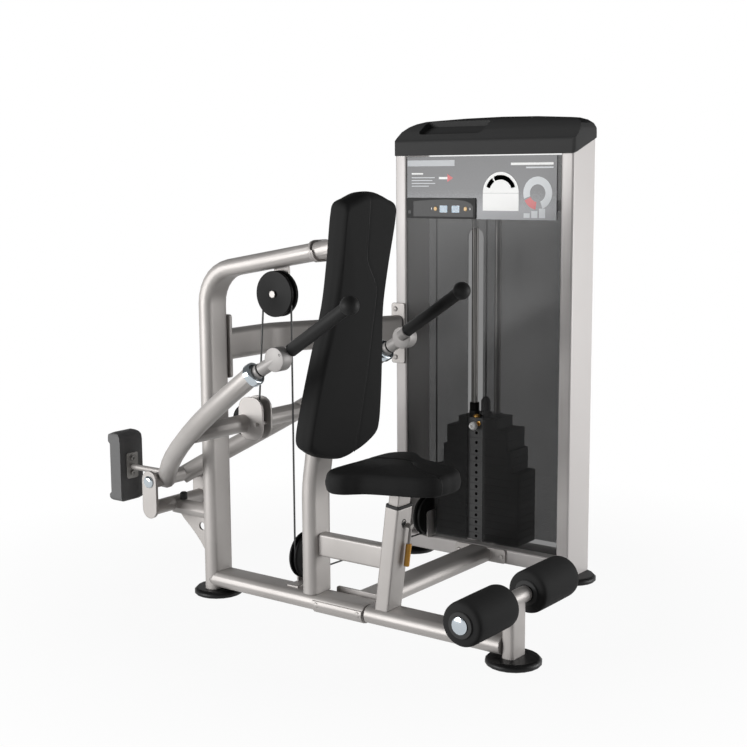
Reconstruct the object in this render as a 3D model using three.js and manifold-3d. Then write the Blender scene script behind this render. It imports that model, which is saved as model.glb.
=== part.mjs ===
// Triceps press machine: a plate-loaded lever frame driven through a cable by a selectorised stack.
// Millimetres. X runs from the rear post to the leg rollers, Y from the seat to the weight tower,
// Z is up. The machine's middle plane is Y = 0 and the rear post stands at X = 0.
import * as THREE from 'three';
import { mergeVertices } from 'three/addons/utils/BufferGeometryUtils.js';
import Module from 'manifold-3d';

const wasm = await Module();
wasm.setup();

// Fits shared by every piece
const seam = 0.3;
const runningGap = 0.5;
const slidingGap = 1.5;
const overrun = 12;
const weldTolerance = 0.001;
const halfShare = 0.5;

// Tubes and base
const tube = { wide: 105, thin: 55, corner: 24 };
const foot = { radius: 84, height: 22, bevel: 9, dish: 4 };
const base = { bottom: 31, height: 53, corner: 24 };
const baseTop = base.bottom + base.height;

// Where the main uprights stand
const backPost = { x: 434, straight: 430, lean: 8.8, sunk: 9.3, bend: 500 };
const rearPost = { corner: 1103, rise: 9.9, bend: 127.5 };

// The back post ends just under the axis of the top tube, where their two slopes meet
const backPostHeight = (rearPost.corner - backPost.sunk
  + (backPost.x - backPost.straight * Math.tan(radians(backPost.lean))) * Math.tan(radians(rearPost.rise)))
  / (1 - Math.tan(radians(backPost.lean)) * Math.tan(radians(rearPost.rise)));
const rollerPost = { x: 1172, thick: 40, wide: 78, corner: 10 };
const crossBeam = { x: 580 };
const joint = { x: 662, gap: 6, spigot: 22, wall: 5 };

// Weight tower
const tower = {
  left: 214, right: 943, front: 750.8, back: 907.4, post: 48, corner: 8,
  topFront: 1485, topBack: 1539,
};
const towerMiddle = (tower.front + tower.back) / 2;
const towerInner = { left: tower.left + tower.post + seam, right: tower.right - tower.post - seam };
const baseBar = { bottom: 31, height: 54, depth: 140, corner: 8 };
const baseBarFront = towerMiddle - baseBar.depth / 2;
const baseBarTop = baseBar.bottom + baseBar.height;

// Cable and pulleys. line is the radius at which the cable's centre runs.
const cable = { radius: 3.2, slack: 0.7, sides: 6, stepAngle: Math.PI / 12 };
const topPulley = { x: 286, z: 1042, line: 57.5, rim: 74, width: 38, sides: 20, web: true };
const dropX = topPulley.x + topPulley.line;
const rearLowerPulley = { line: 62, rim: 77, width: 30, z: 176, sides: 20, web: true };
const towerLowerPulley = { line: 64, rim: 72, z: 162, width: 30, sides: 18, web: false };
const crownPulley = { line: 50, rim: 56.5, width: 26, z: 1396, sides: 16, web: false };
const leverPulley = { x: 148, z: 616, line: 48, rim: 54, width: 30, sides: 18, web: false };

// The low run between the two lower pulleys touches both underneath, so it falls a little
const lowSpan = {
  y: towerMiddle - towerLowerPulley.line - rearLowerPulley.line,
  z: towerLowerPulley.z - rearLowerPulley.z,
};
const runTilt = Math.atan2(lowSpan.z, lowSpan.y)
  + Math.asin((rearLowerPulley.line - towerLowerPulley.line) / Math.hypot(lowSpan.y, lowSpan.z));

// Stack
const stack = { x: 558, depth: 125, rodSpread: 48, rod: 12, stem: 11, bottom: 101 };
const plate = { pitch: 26.3, groove: 2.4, grooveDepth: 2.5, corner: 6 };
const tiers = {
  fourth: { plates: 10, width: 352 },
  third: { plates: 3, width: 290 },
  second: { plates: 2, width: 260, pitch: 35.5 },
};
const head = { width: 163, height: 37, pin: 11, neck: 17, neckHeight: 55, collar: 24, collarHeight: 14 };
const stackFront = towerMiddle - stack.depth / 2;

// Lever
const pivot = { x: -195, z: 385, tube: 26, span: 118, axle: 12, plate: 10, plateWide: 66 };
const arm = { radius: 31, wall: 3.5, sides: 12, boreSides: 8, steps: 9, endX: 460, endY: 327, endZ: 830 };
const crossTube = { radius: 30, wall: 4, x: 150, z: 610, span: 262, sides: 12 };
const grip = { radius: 20, neck: 18, bar: 12, ball: 28.5 };
const puck = { x: 560, y: 319, z: 888, radius: 36, half: 18, sides: 16 };
const gripStart = { x: 586, y: 292.4, z: 912.2 };
const gripEnd = { x: 801, y: 289.5, z: 1054 };

// Seat
const seatPost = { x: 716, z: 57, topX: 762, topZ: 412, thick: 50, wide: 80, corner: 7 };
const seat = {
  top: 545, thick: 62, rear: 602, front: 952, half: 206, crown: 7,
  round: 20, draw: 3, middle: 158, divisions: 40,
};
const strut = { bottom: 208, height: 75, wide: 45, corner: 8 };

// Back pad, measured along its own leaning face
const pad = {
  x: 485, z: 541, lean: 8.9, thick: 72, height: 838, half: 178, crown: 7,
  round: 22, draw: 3, divisions: 44,
};

// Facets of round pieces, and steps of the arcs in drawn outlines
const sides = { wheel: 20, fine: 20, medium: 16, plain: 14, coarse: 12, hidden: 10, screw: 8, drill: 6 };
const arcs = { chamfer: 0.5, plate: 1, tube: 1.5, rim: 2, soft: 3, cap: 4, round: 6, wide: 8 };

const finishes = {
  frame: { color: 0xc6c2bf, roughness: 0.42, metalness: 0.55 },
  chrome: { color: 0xd9dcde, roughness: 0.12, metalness: 1 },
  blackPlastic: { color: 0x242424, roughness: 0.5, metalness: 0 },
  greyPlastic: { color: 0x4a4a4a, roughness: 0.5, metalness: 0 },
  rubber: { color: 0x161616, roughness: 0.85, metalness: 0 },
  vinyl: { color: 0x121212, roughness: 0.55, metalness: 0 },
  plates: { color: 0x1d1d1e, roughness: 0.6, metalness: 0.3 },
  smoked: { color: 0x4c4c4c, roughness: 0.2, metalness: 0 },
  amber: { color: 0xb8862f, roughness: 0.45, metalness: 0 },
  brass: { color: 0xb08d3c, roughness: 0.3, metalness: 0.9 },
  white: { color: 0xe8e6e2, roughness: 0.4, metalness: 0 },
  placard: { color: 0x3a3a3c, roughness: 0.5, metalness: 0 },
};

const machine = new THREE.Group();
machine.name = 'triceps_press_machine';

// A closed solid from any three.js geometry, with its faces pointing out
function solidOf(geometry) {
  const plain = geometry.index ? geometry.toNonIndexed() : geometry;
  const positions = new THREE.BufferGeometry();
  positions.setAttribute('position', plain.getAttribute('position').clone());
  const merged = mergeVertices(positions, weldTolerance);
  const points = merged.getAttribute('position').array;
  const corners = merged.index.array;
  const kept = [];
  for (let i = 0; i < corners.length; i += 3) {
    const [a, b, c] = corners.slice(i, i + 3);
    if (a !== b && b !== c && c !== a) {
      kept.push(a, b, c);
    }
  }
  if (signedVolume(points, kept) < 0) {
    kept.reverse();
  }
  const mesh = new wasm.Mesh({
    numProp: 3,
    vertProperties: Float32Array.from(points),
    triVerts: Uint32Array.from(kept),
  });
  return new wasm.Manifold(mesh);
}

function signedVolume(points, corners) {
  const a = new THREE.Vector3();
  const b = new THREE.Vector3();
  const c = new THREE.Vector3();
  let sum = 0;
  for (let i = 0; i < corners.length; i += 3) {
    a.fromArray(points, corners[i] * 3);
    b.fromArray(points, corners[i + 1] * 3);
    c.fromArray(points, corners[i + 2] * 3);
    sum += a.dot(b.cross(c));
  }
  return sum;
}

function joined(...solids) {
  return solids.reduce((whole, solid) => whole.add(solid));
}

function cut(solid, ...tools) {
  return tools.reduce((rest, tool) => rest.subtract(tool), solid);
}

// Adds one named piece to a group
function addPiece(group, name, solid, finish, place = new THREE.Vector3()) {
  const built = solid.getMesh();
  const geometry = new THREE.BufferGeometry();
  geometry.setAttribute('position', new THREE.BufferAttribute(built.vertProperties, 3));
  geometry.setIndex(new THREE.BufferAttribute(built.triVerts, 1));
  geometry.computeVertexNormals();
  const mesh = new THREE.Mesh(geometry, new THREE.MeshStandardMaterial(finishes[finish]));
  mesh.name = name;
  mesh.position.copy(place);
  group.add(mesh);
  return mesh;
}

function point(x, y, z) {
  return new THREE.Vector3(x, y, z);
}

function radians(degrees) {
  return THREE.MathUtils.degToRad(degrees);
}

// Shapes
function roundedRect(wide, high, radius) {
  const x = wide / 2 - radius;
  const y = high / 2 - radius;
  const quarter = Math.PI / 2;
  const shape = new THREE.Shape();
  shape.moveTo(x, -y - radius);
  shape.absarc(x, -y, radius, -quarter, 0);
  shape.absarc(x, y, radius, 0, quarter);
  shape.absarc(-x, y, radius, quarter, Math.PI);
  shape.absarc(-x, -y, radius, Math.PI, Math.PI + quarter);
  return shape;
}

function outline(points) {
  return new THREE.Shape(points.map(([x, y]) => new THREE.Vector2(x, y)));
}

// Prisms drawn in the ground plane, in an elevation (X, Z) or in an end view (Y, Z)
function prism(shape, depth, curveSegments) {
  return new THREE.ExtrudeGeometry(shape, { depth, bevelEnabled: false, curveSegments });
}

function upright(shape, from, to, curveSegments = arcs.plate) {
  return prism(shape, to - from, curveSegments).translate(0, 0, from);
}

function acrossY(shape, from, to, curveSegments = arcs.plate) {
  return prism(shape, to - from, curveSegments).rotateX(Math.PI / 2).translate(0, to, 0);
}

function acrossX(shape, from, to, curveSegments = arcs.plate) {
  const geometry = prism(shape, to - from, curveSegments);
  const turn = new THREE.Matrix4().makeBasis(point(0, 1, 0), point(0, 0, 1), point(1, 0, 0));
  return geometry.applyMatrix4(turn).translate(from, 0, 0);
}

function block(xs, ys, zs) {
  const spans = [xs, ys, zs].map(([low, high]) => high - low);
  const middle = [xs, ys, zs].map(([low, high]) => (low + high) / 2);
  return solidOf(new THREE.BoxGeometry(...spans).translate(...middle));
}

function rod(from, to, radius, count = sides.plain) {
  const run = to.clone().sub(from);
  const middle = from.clone().lerp(to, halfShare);
  const geometry = new THREE.CylinderGeometry(radius, radius, run.length(), count);
  const turn = new THREE.Quaternion().setFromUnitVectors(point(0, 1, 0), run.normalize());
  return solidOf(geometry.applyQuaternion(turn).translate(middle.x, middle.y, middle.z));
}

// A round hole whose flats still clear a rod of the given radius
function drilled(from, to, radius, count = sides.plain) {
  return rod(from, to, radius / Math.cos(Math.PI / count), count);
}

// A turned piece about Z, X or Y. The profile is a list of radius and height pairs.
function turned(profile, count, axis = 'z') {
  const rings = profile.map(([radius, height]) => new THREE.Vector2(radius, height));
  const geometry = new THREE.LatheGeometry(rings, count);
  if (axis === 'z') {
    geometry.rotateX(Math.PI / 2);
  }
  if (axis === 'x') {
    geometry.rotateZ(-Math.PI / 2);
  }
  return geometry;
}

// A path through chosen stations. One side of the swept section stays square to a fixed direction.
class StationPath extends THREE.Curve {
  constructor(stations, side) {
    super();
    this.stations = stations;
    this.side = side;
  }

  getPoint(t) {
    const place = t * (this.stations.length - 1);
    const index = Math.min(Math.floor(place), this.stations.length - 2);
    return this.stations[index].clone().lerp(this.stations[index + 1], place - index);
  }

  getSpacedPoints() {
    return this.stations;
  }

  computeFrenetFrames() {
    const last = this.stations.length - 1;
    const tangents = this.stations.map((station, index) => {
      const before = this.stations[Math.max(index - 1, 0)];
      const after = this.stations[Math.min(index + 1, last)];
      const incoming = station.clone().sub(before).normalize();
      const outgoing = after.clone().sub(station).normalize();
      return incoming.add(outgoing).normalize();
    });
    const binormals = tangents.map((tangent) => tangent.clone().cross(this.side).normalize());
    const normals = tangents.map((tangent, index) => binormals[index].clone().cross(tangent).normalize());
    return { tangents, normals, binormals };
  }
}

// Stations along straight runs joined by arcs of one bend radius
function bentRoute(corners, bend, stepAngle) {
  const stations = [corners[0]];
  for (let i = 1; i < corners.length - 1; i += 1) {
    const incoming = corners[i].clone().sub(corners[i - 1]).normalize();
    const outgoing = corners[i + 1].clone().sub(corners[i]).normalize();
    const turn = incoming.angleTo(outgoing);
    const reach = bend * Math.tan(turn / 2);
    const start = corners[i].clone().addScaledVector(incoming, -reach);
    const inward = outgoing.clone().addScaledVector(incoming, -Math.cos(turn)).normalize();
    const steps = Math.max(2, Math.ceil(turn / stepAngle));
    for (let k = 0; k <= steps; k += 1) {
      const angle = (turn * k) / steps;
      const along = bend * Math.sin(angle);
      const aside = bend * (1 - Math.cos(angle));
      stations.push(start.clone().addScaledVector(incoming, along).addScaledVector(inward, aside));
    }
  }
  stations.push(corners[corners.length - 1]);
  return stations;
}

function swept(shape, stations, side, curveSegments = arcs.tube) {
  const extrudePath = new StationPath(stations, side);
  return new THREE.ExtrudeGeometry(shape, { steps: stations.length - 1, extrudePath, curveSegments });
}

function smoothRoute(curve, steps) {
  return curve.getPoints(steps);
}

// A round-headed bolt: a low dome on a shank, standing on a face and pointing along a direction
function bolt(place, direction, headRadius, headHeight, shank) {
  const profile = [
    [0, -shank],
    [headRadius, -shank],
    [headRadius, headHeight / 2],
    [headRadius / 2, headHeight],
    [0, headHeight],
  ];
  const geometry = new THREE.LatheGeometry(profile.map(([r, h]) => new THREE.Vector2(r, h)), sides.screw);
  const turn = new THREE.Quaternion().setFromUnitVectors(point(0, 1, 0), direction);
  return solidOf(geometry.applyQuaternion(turn).translate(place.x, place.y, place.z));
}
const screw = { head: 9, height: 6, shank: 4 };

// A bolt whose head faces the seat side
function frontBolt(place) {
  return bolt(place, point(0, -1, 0), screw.head, screw.height, screw.shank);
}

// Feet: rubber discs with a bevelled rim, one under each upright
function addFoot(group, name, x, y) {
  const profile = [
    [0, 0],
    [foot.radius - foot.dish, 0],
    [foot.radius, foot.dish],
    [foot.radius, foot.height - foot.bevel],
    [foot.radius - foot.bevel, foot.height],
    [0, foot.height],
  ];
  addPiece(group, name, solidOf(turned(profile, sides.wheel)), 'rubber', point(x, y, 0));
}

// Frame
const sweptSection = roundedRect(tube.wide, tube.thin, tube.corner);
const sideways = point(0, 1, 0);
const bendStep = radians(12);
const backPostStep = radians(4);

const flange = { thick: 8, rim: 7 };
const flangeX = 472;

function rearPostRoute() {
  const climb = Math.tan(radians(rearPost.rise));
  const corners = [
    point(0, 0, foot.height + seam),
    point(0, 0, rearPost.corner),
    point(flangeX, 0, rearPost.corner + flangeX * climb),
  ];
  return bentRoute(corners, rearPost.bend, bendStep);
}

// The leaning plate that closes the top tube, drawn square to the tube
function tiltedFlange(from, to, rim) {
  const section = roundedRect(tube.wide + rim * 2, tube.thin + rim * 2, tube.corner + rim);
  return solidOf(swept(section, [from, to], sideways));
}

function topTubePoint(x) {
  return point(x, 0, rearPost.corner + x * Math.tan(radians(rearPost.rise)));
}

const topBracket = { thick: 9, length: 60, corner: 22, head: 6, headRadius: 12 };
const axleRadius = 8;

// The bracket under the top tube that holds the top pulley from behind
function topPulleyBracket() {
  const width = topPulley.width / 2 + slidingGap;
  const arch = topTubePoint(topPulley.x).z - tube.thin / 2;
  const drop = topPulley.z - topBracket.corner;
  const height = arch + topBracket.corner - drop;
  const outlineShape = roundedRect(topBracket.length, height, topBracket.corner);
  const cheek = acrossY(outlineShape, width, width + topBracket.thick);
  cheek.translate(topPulley.x, 0, drop + height / 2);
  const at = (y) => point(topPulley.x, y, topPulley.z);
  const axle = rod(at(-width), at(width + topBracket.thick), axleRadius);
  const nut = rod(at(-width - topBracket.head), at(-width), topBracket.headRadius, sides.screw);
  return joined(solidOf(cheek), axle, nut);
}

function addRearPost(group) {
  const post = solidOf(swept(sweptSection, rearPostRoute(), sideways));
  const ring = tiltedFlange(topTubePoint(flangeX - flange.thick), topTubePoint(flangeX), flange.rim);
  addPiece(group, 'rear_post', joined(post, ring, topPulleyBracket()), 'frame');
}

function backPostRoute(over) {
  const top = backPostHeight + over;
  const corners = [
    point(backPost.x, 0, baseTop + seam - over),
    point(backPost.x, 0, backPost.straight),
    point(backPostX(top), 0, top),
  ];
  return bentRoute(corners, backPost.bend, backPostStep);
}

function backPostX(z) {
  return backPost.x + Math.max(0, z - backPost.straight) * Math.tan(radians(backPost.lean));
}

function addBackPost(group) {
  const post = solidOf(swept(sweptSection, backPostRoute(0), sideways));
  const stubEnd = backPostX(backPostHeight);
  const from = topTubePoint(flangeX + seam);
  const mate = tiltedFlange(from, topTubePoint(flangeX + seam + flange.thick), flange.rim);
  const stub = tiltedFlange(from, topTubePoint(stubEnd), 0);
  const whole = joined(post, mate, stub);
  const trim = block(
    [flangeX - overrun, stubEnd + tube.wide],
    [-tube.wide, tube.wide],
    [backPostHeight, backPostHeight + tube.wide],
  );
  addPiece(group, 'back_post', cut(whole, cut(trim, stub)), 'frame');
}

// The rear beam is coped round the rear post and ends in a spigot for the front beam
function addMainBeams(group) {
  const along = (from, to, shrink, radius) => {
    const section = roundedRect(tube.wide - shrink * 2, base.height - shrink * 2, radius);
    return solidOf(acrossX(section, from, to, arcs.tube).translate(0, 0, base.bottom + base.height / 2));
  };
  const postCut = upright(
    roundedRect(tube.thin + seam * 2, tube.wide + seam * 2, tube.corner + seam),
    0,
    baseTop + overrun,
    arcs.tube,
  );
  const rear = along(0, joint.x - joint.gap, 0, base.corner);
  const spigotInset = joint.wall * 2;
  const spigotFrom = joint.x - joint.gap - overrun;
  const spigot = along(spigotFrom, joint.x + joint.spigot, spigotInset, base.corner - spigotInset);
  const saddleSpace = saddle(seam);
  const { line, z } = rearLowerPulley;
  const holder = lowerPulleyBracket(dropX, line, z, rearLowerPulley, baseTop - seam, line + lowBracket.lap);
  const beam = cut(joined(rear, spigot, holder), solidOf(postCut), saddleSpace);
  addPiece(group, 'main_beam_rear', beam, 'frame');

  const frontEnd = rollerPost.x - rollerPost.thick / 2 - seam;
  const front = along(joint.x, frontEnd, 0, base.corner);
  const socketInset = spigotInset - seam;
  const socketEnd = joint.x + joint.spigot + seam;
  const socket = along(joint.x - overrun, socketEnd, socketInset, base.corner - socketInset);
  addPiece(group, 'main_beam_front', cut(front, socket), 'frame');
}

// The cross beam's saddle: a shell that wraps under the main beam
const saddleSize = { from: 458, to: 655, thick: 5, top: 70 };
function saddle(grow) {
  const outer = roundedRect(
    tube.wide + (saddleSize.thick + grow) * 2,
    base.height + (saddleSize.thick + grow) * 2,
    base.corner + saddleSize.thick + grow,
  );
  const inner = roundedRect(tube.wide, base.height, base.corner);
  const middle = base.bottom + base.height / 2;
  const skin = acrossX(outer, saddleSize.from - grow, saddleSize.to + grow, arcs.tube);
  const hollow = acrossX(inner, saddleSize.from - overrun, saddleSize.to + overrun, arcs.tube);
  const shell = cut(
    solidOf(skin.translate(0, 0, middle)),
    solidOf(hollow.translate(0, 0, middle)),
    block(
      [saddleSize.from - overrun, saddleSize.to + overrun],
      [-tube.wide, tube.wide],
      [saddleSize.top + grow, baseTop + tube.wide],
    ),
  );
  return shell;
}

const crossFlange = { left: 480, right: 690, low: 34, high: 84, thick: 7.4, corner: 6, boltInset: 16 };
const sideFlange = { left: 470, right: 690, thick: 8, high: 92 };
function addCrossBeam(group) {
  const middle = base.bottom + base.height / 2;
  const near = tube.wide / 2 + saddleSize.thick;
  const beamEnd = baseBarFront - seam;
  const section = roundedRect(tube.wide, base.height, base.corner);
  const beam = solidOf(acrossY(section, near, beamEnd, arcs.tube).translate(crossBeam.x, 0, middle));
  const innerShell = cut(saddle(0), clearBeam(seam));
  const plateShape = roundedRect(
    crossFlange.right - crossFlange.left,
    crossFlange.high - crossFlange.low,
    crossFlange.corner,
  );
  const plateAt = [(crossFlange.left + crossFlange.right) / 2, 0, (crossFlange.low + crossFlange.high) / 2];
  const endPlate = solidOf(acrossY(plateShape, beamEnd - crossFlange.thick, beamEnd).translate(...plateAt));
  const nearShape = roundedRect(
    sideFlange.right - sideFlange.left,
    sideFlange.high - base.bottom,
    crossFlange.corner,
  );
  const nearAt = [(sideFlange.left + sideFlange.right) / 2, 0, (sideFlange.high + base.bottom) / 2];
  const nearPlate = solidOf(acrossY(nearShape, near, near + sideFlange.thick).translate(...nearAt));
  const heads = [saddleSize.from + crossFlange.boltInset, saddleSize.to - crossFlange.boltInset].map((x) => {
    const under = point(x, -near + screw.height / 2, middle);
    return bolt(under, point(0, -1, 0), screw.head, screw.height, screw.shank / 2);
  });
  const headPlaces = [crossFlange.left + crossFlange.boltInset, crossFlange.right - crossFlange.boltInset];
  const plateHeads = headPlaces.map((x) => frontBolt(point(x, beamEnd - crossFlange.thick, middle)));
  const whole = joined(beam, innerShell, endPlate, nearPlate, ...heads, ...plateHeads);
  addPiece(group, 'cross_base_beam', whole, 'frame');
}

function clearBeam(grow) {
  const section = roundedRect(tube.wide + grow * 2, base.height + grow * 2, base.corner + grow);
  const at = base.bottom + base.height / 2;
  return solidOf(acrossX(section, -overrun, rollerPost.x, arcs.tube).translate(0, 0, at));
}

// Seat post: an open leaning tube, with its strut from the back post
const seatLean = Math.atan2(seatPost.topX - seatPost.x, seatPost.topZ - seatPost.z);
function leaning(shape, from, to) {
  const geometry = upright(shape, from, to);
  return geometry.rotateY(seatLean).translate(seatPost.x, 0, seatPost.z);
}
const seatPostLength = Math.hypot(seatPost.topX - seatPost.x, seatPost.topZ - seatPost.z);

function seatPostOuter() {
  return solidOf(leaning(roundedRect(seatPost.thick, seatPost.wide, seatPost.corner), 0, seatPostLength));
}

const stem = { thick: 38, wide: 66, corner: 4, depth: 215, travelDown: 45 };
const pinHole = { radius: 10, below: 52 };
function addSeatPost(group) {
  const boreShape = roundedRect(
    stem.thick + slidingGap,
    stem.wide + slidingGap,
    stem.corner,
  );
  const boreDepth = stem.depth + stem.travelDown;
  const bore = solidOf(leaning(boreShape, seatPostLength - boreDepth, seatPostLength + overrun));
  const strutShape = roundedRect(strut.wide, strut.height, strut.corner);
  const strutMiddle = strut.bottom + strut.height / 2;
  const strutFrom = backPost.x + tube.thin / 2 + seam;
  const strutTo = seatPost.x + (strutMiddle - seatPost.z) * Math.tan(seatLean);
  const strutTube = solidOf(acrossX(strutShape, strutFrom, strutTo).translate(0, 0, strutMiddle));
  const hole = new THREE.CylinderGeometry(pinHole.radius, pinHole.radius, seatPost.thick, sides.medium);
  hole.rotateZ(Math.PI / 2).translate(seatPost.thick / 2, 0, seatPostLength - pinHole.below);
  hole.rotateY(seatLean).translate(seatPost.x, 0, seatPost.z);
  const post = cut(seatPostOuter(), solidOf(hole));
  const sole = cut(joined(post, strutTube), bore, clearBeam(seam));
  addPiece(group, 'seat_post', sole, 'frame');
}

const bush = { height: 9 };
function addSeatPostBush(group) {
  const outer = roundedRect(seatPost.thick, seatPost.wide, seatPost.corner);
  const innerShape = roundedRect(stem.thick + runningGap * 2, stem.wide + runningGap * 2, stem.corner);
  const from = seatPostLength + seam;
  const ring = cut(
    solidOf(leaning(outer, from, from + bush.height)),
    solidOf(leaning(innerShape, from - overrun, from + bush.height + overrun)),
  );
  addPiece(group, 'seat_post_bush', ring, 'blackPlastic');
}

// Front upright for the leg rollers, with the round cross tube that takes the axle
const rollerAxle = { z: 195, radius: 10, reach: 290, cap: 25, capHeight: 9 };
const rollerHub = { half: 64, radius: 24 };
function addRollerPost(group) {
  const shape = roundedRect(rollerPost.thick, rollerPost.wide, rollerPost.corner);
  const post = solidOf(upright(shape, foot.height + seam, rollerAxle.z).translate(rollerPost.x, 0, 0));
  const hub = rod(
    point(rollerPost.x, -rollerHub.half, rollerAxle.z),
    point(rollerPost.x, rollerHub.half, rollerAxle.z),
    rollerHub.radius,
  );
  const bore = drilled(
    point(rollerPost.x, -rollerHub.half - overrun, rollerAxle.z),
    point(rollerPost.x, rollerHub.half + overrun, rollerAxle.z),
    rollerAxle.radius + seam,
  );
  addPiece(group, 'roller_post', cut(joined(post, hub), bore), 'frame');
}

const rollerPad = { inner: 72, outer: 288, radius: 65, disc: 40, discOut: 3, edge: 12, sides: 18 };
function addRollers(group) {
  const at = point(rollerPost.x, 0, rollerAxle.z);
  const half = rollerAxle.reach;
  const cap = (hand) => {
    const profile = [
      [0, half],
      [rollerAxle.cap, half],
      [rollerAxle.cap, half + rollerAxle.capHeight / 3],
      [rollerAxle.cap / 2, half + rollerAxle.capHeight],
      [0, half + rollerAxle.capHeight],
    ];
    const geometry = turned(profile, sides.medium, 'y');
    return solidOf(hand < 0 ? geometry.rotateX(Math.PI) : geometry);
  };
  const bar = rod(point(0, -half - seam, 0), point(0, half + seam, 0), rollerAxle.radius);
  addPiece(group, 'roller_axle', joined(bar, cap(-1), cap(1)), 'chrome', at);
  for (const [hand, side] of [[-1, 'right'], [1, 'left']]) {
    const profile = [
      [rollerAxle.radius + runningGap, rollerPad.inner - rollerPad.discOut],
      [rollerPad.disc, rollerPad.inner - rollerPad.discOut],
      [rollerPad.disc, rollerPad.inner],
      [rollerPad.radius - rollerPad.edge, rollerPad.inner],
      [rollerPad.radius - rollerPad.discOut, rollerPad.inner + rollerPad.discOut],
      [rollerPad.radius, rollerPad.inner + rollerPad.edge],
      [rollerPad.radius, rollerPad.outer - rollerPad.edge - rollerPad.discOut],
      [rollerPad.radius - rollerPad.discOut, rollerPad.outer - rollerPad.discOut * 2],
      [rollerPad.radius - rollerPad.edge, rollerPad.outer - rollerPad.discOut],
      [rollerPad.disc, rollerPad.outer - rollerPad.discOut],
      [rollerPad.disc, rollerPad.outer],
      [rollerAxle.radius + runningGap, rollerPad.outer],
    ];
    profile.push(profile[0]);
    const geometry = turned(profile, rollerPad.sides, 'y');
    const solid = solidOf(hand < 0 ? geometry.rotateX(Math.PI) : geometry);
    addPiece(group, `roller_pad_${side}`, solid, 'vinyl', at);
  }
}

// Side brace from the rear post to the tower's left post
const brace = { z: 852, high: 105, thick: 55, corner: 22, bendY: 300, turn: 25, bend: 160 };
const bracePlate = { thick: 12, wide: 54, low: 740, high: 955, corner: 8 };
const towerPlate = { left: 201, right: 259, low: 727, high: 950, thick: 8, corner: 8, bolt: 22 };
function addSideBrace(group) {
  const startY = tube.wide / 2 + seam;
  const endY = tower.front - seam;
  const plateY = startY + bracePlate.thick;
  const endX = (towerPlate.left + towerPlate.right) / 2;
  const lean = Math.atan2(endX, endY - brace.bendY);
  const kneeY = endY - endX / Math.tan(Math.max(lean, radians(brace.turn)));
  const corners = [
    point(0, startY, brace.z),
    point(0, kneeY, brace.z),
    point(endX, endY - towerPlate.thick / 2, brace.z),
  ];
  const section = roundedRect(brace.high, brace.thick, brace.corner);
  const bar = solidOf(swept(section, bentRoute(corners, brace.bend, bendStep), point(0, 0, 1)));
  const rearShape = roundedRect(bracePlate.wide, bracePlate.high - bracePlate.low, bracePlate.corner);
  const rearPlate = solidOf(
    acrossY(rearShape, startY, plateY).translate(0, 0, (bracePlate.high + bracePlate.low) / 2),
  );
  const frontShape = roundedRect(
    towerPlate.right - towerPlate.left,
    towerPlate.high - towerPlate.low,
    towerPlate.corner,
  );
  const plateMiddle = (towerPlate.high + towerPlate.low) / 2;
  const frontPlate = solidOf(acrossY(frontShape, endY - towerPlate.thick, endY).translate(endX, 0, plateMiddle));
  const heads = [towerPlate.low + towerPlate.bolt, towerPlate.high - towerPlate.bolt].map((z) =>
    frontBolt(point(endX - towerPlate.bolt / 2, endY - towerPlate.thick, z)));
  const trimmed = cut(
    bar,
    block([-tube.wide, tower.right], [startY - tube.wide, startY], [0, tower.topFront]),
    block([-tube.wide, tower.right], [endY, endY + tube.wide], [0, tower.topFront]),
  );
  addPiece(group, 'side_brace', joined(trimmed, rearPlate, frontPlate, ...heads), 'frame');
}

// Bracket behind the rear post that carries the lever's axle
const cantilever = { z: 278, radius: 27 };
const lowerTube = { z: 290, radius: 25 };
const gusset = { thick: 8, top: 262, nose: -172, foot: 92, holeX: -70, holeZ: 222, hole: 14 };
function addPivotBracket(group) {
  const postFace = -tube.thin / 2 - seam;
  const half = pivot.span + pivot.plate;
  const stadium = new THREE.Shape();
  const radius = pivot.plateWide / 2;
  const low = lowerTube.z;
  stadium.absarc(0, low, radius, Math.PI, 0, false);
  stadium.absarc(0, pivot.z + radius / 8, radius, 0, Math.PI, false);
  const plates = [-1, 1].map((hand) => {
    const inner = hand * pivot.span;
    const outer = hand * half;
    const side = acrossY(stadium, Math.min(inner, outer), Math.max(inner, outer), arcs.round);
    return solidOf(side.translate(pivot.x, 0, 0));
  });
  const across = rod(point(pivot.x, -half, lowerTube.z), point(pivot.x, half, lowerTube.z), lowerTube.radius);
  const reachSection = roundedRect(cantilever.radius * 2, cantilever.radius * 2, cantilever.radius - seam);
  const reach = solidOf(acrossX(reachSection, pivot.x, postFace).translate(0, 0, cantilever.z));
  const side = new THREE.Shape();
  side.moveTo(postFace, gusset.top);
  side.lineTo(gusset.nose, gusset.top);
  const sweepLow = gusset.top - tube.thin;
  const noseLow = gusset.top - cantilever.radius;
  side.bezierCurveTo(gusset.nose, noseLow, gusset.nose / 2, sweepLow, postFace, gusset.foot);
  const hole = new THREE.Path().absarc(gusset.holeX, gusset.holeZ, gusset.hole, 0, Math.PI * 2, true);
  side.holes.push(hole);
  const web = solidOf(acrossY(side, -gusset.thick / 2, gusset.thick / 2, arcs.wide));
  const bore = drilled(
    point(pivot.x, -half - overrun, pivot.z),
    point(pivot.x, half + overrun, pivot.z),
    pivot.axle + seam,
  );
  addPiece(group, 'pivot_bracket', cut(joined(...plates, across, reach, web), bore), 'frame');
}

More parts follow.
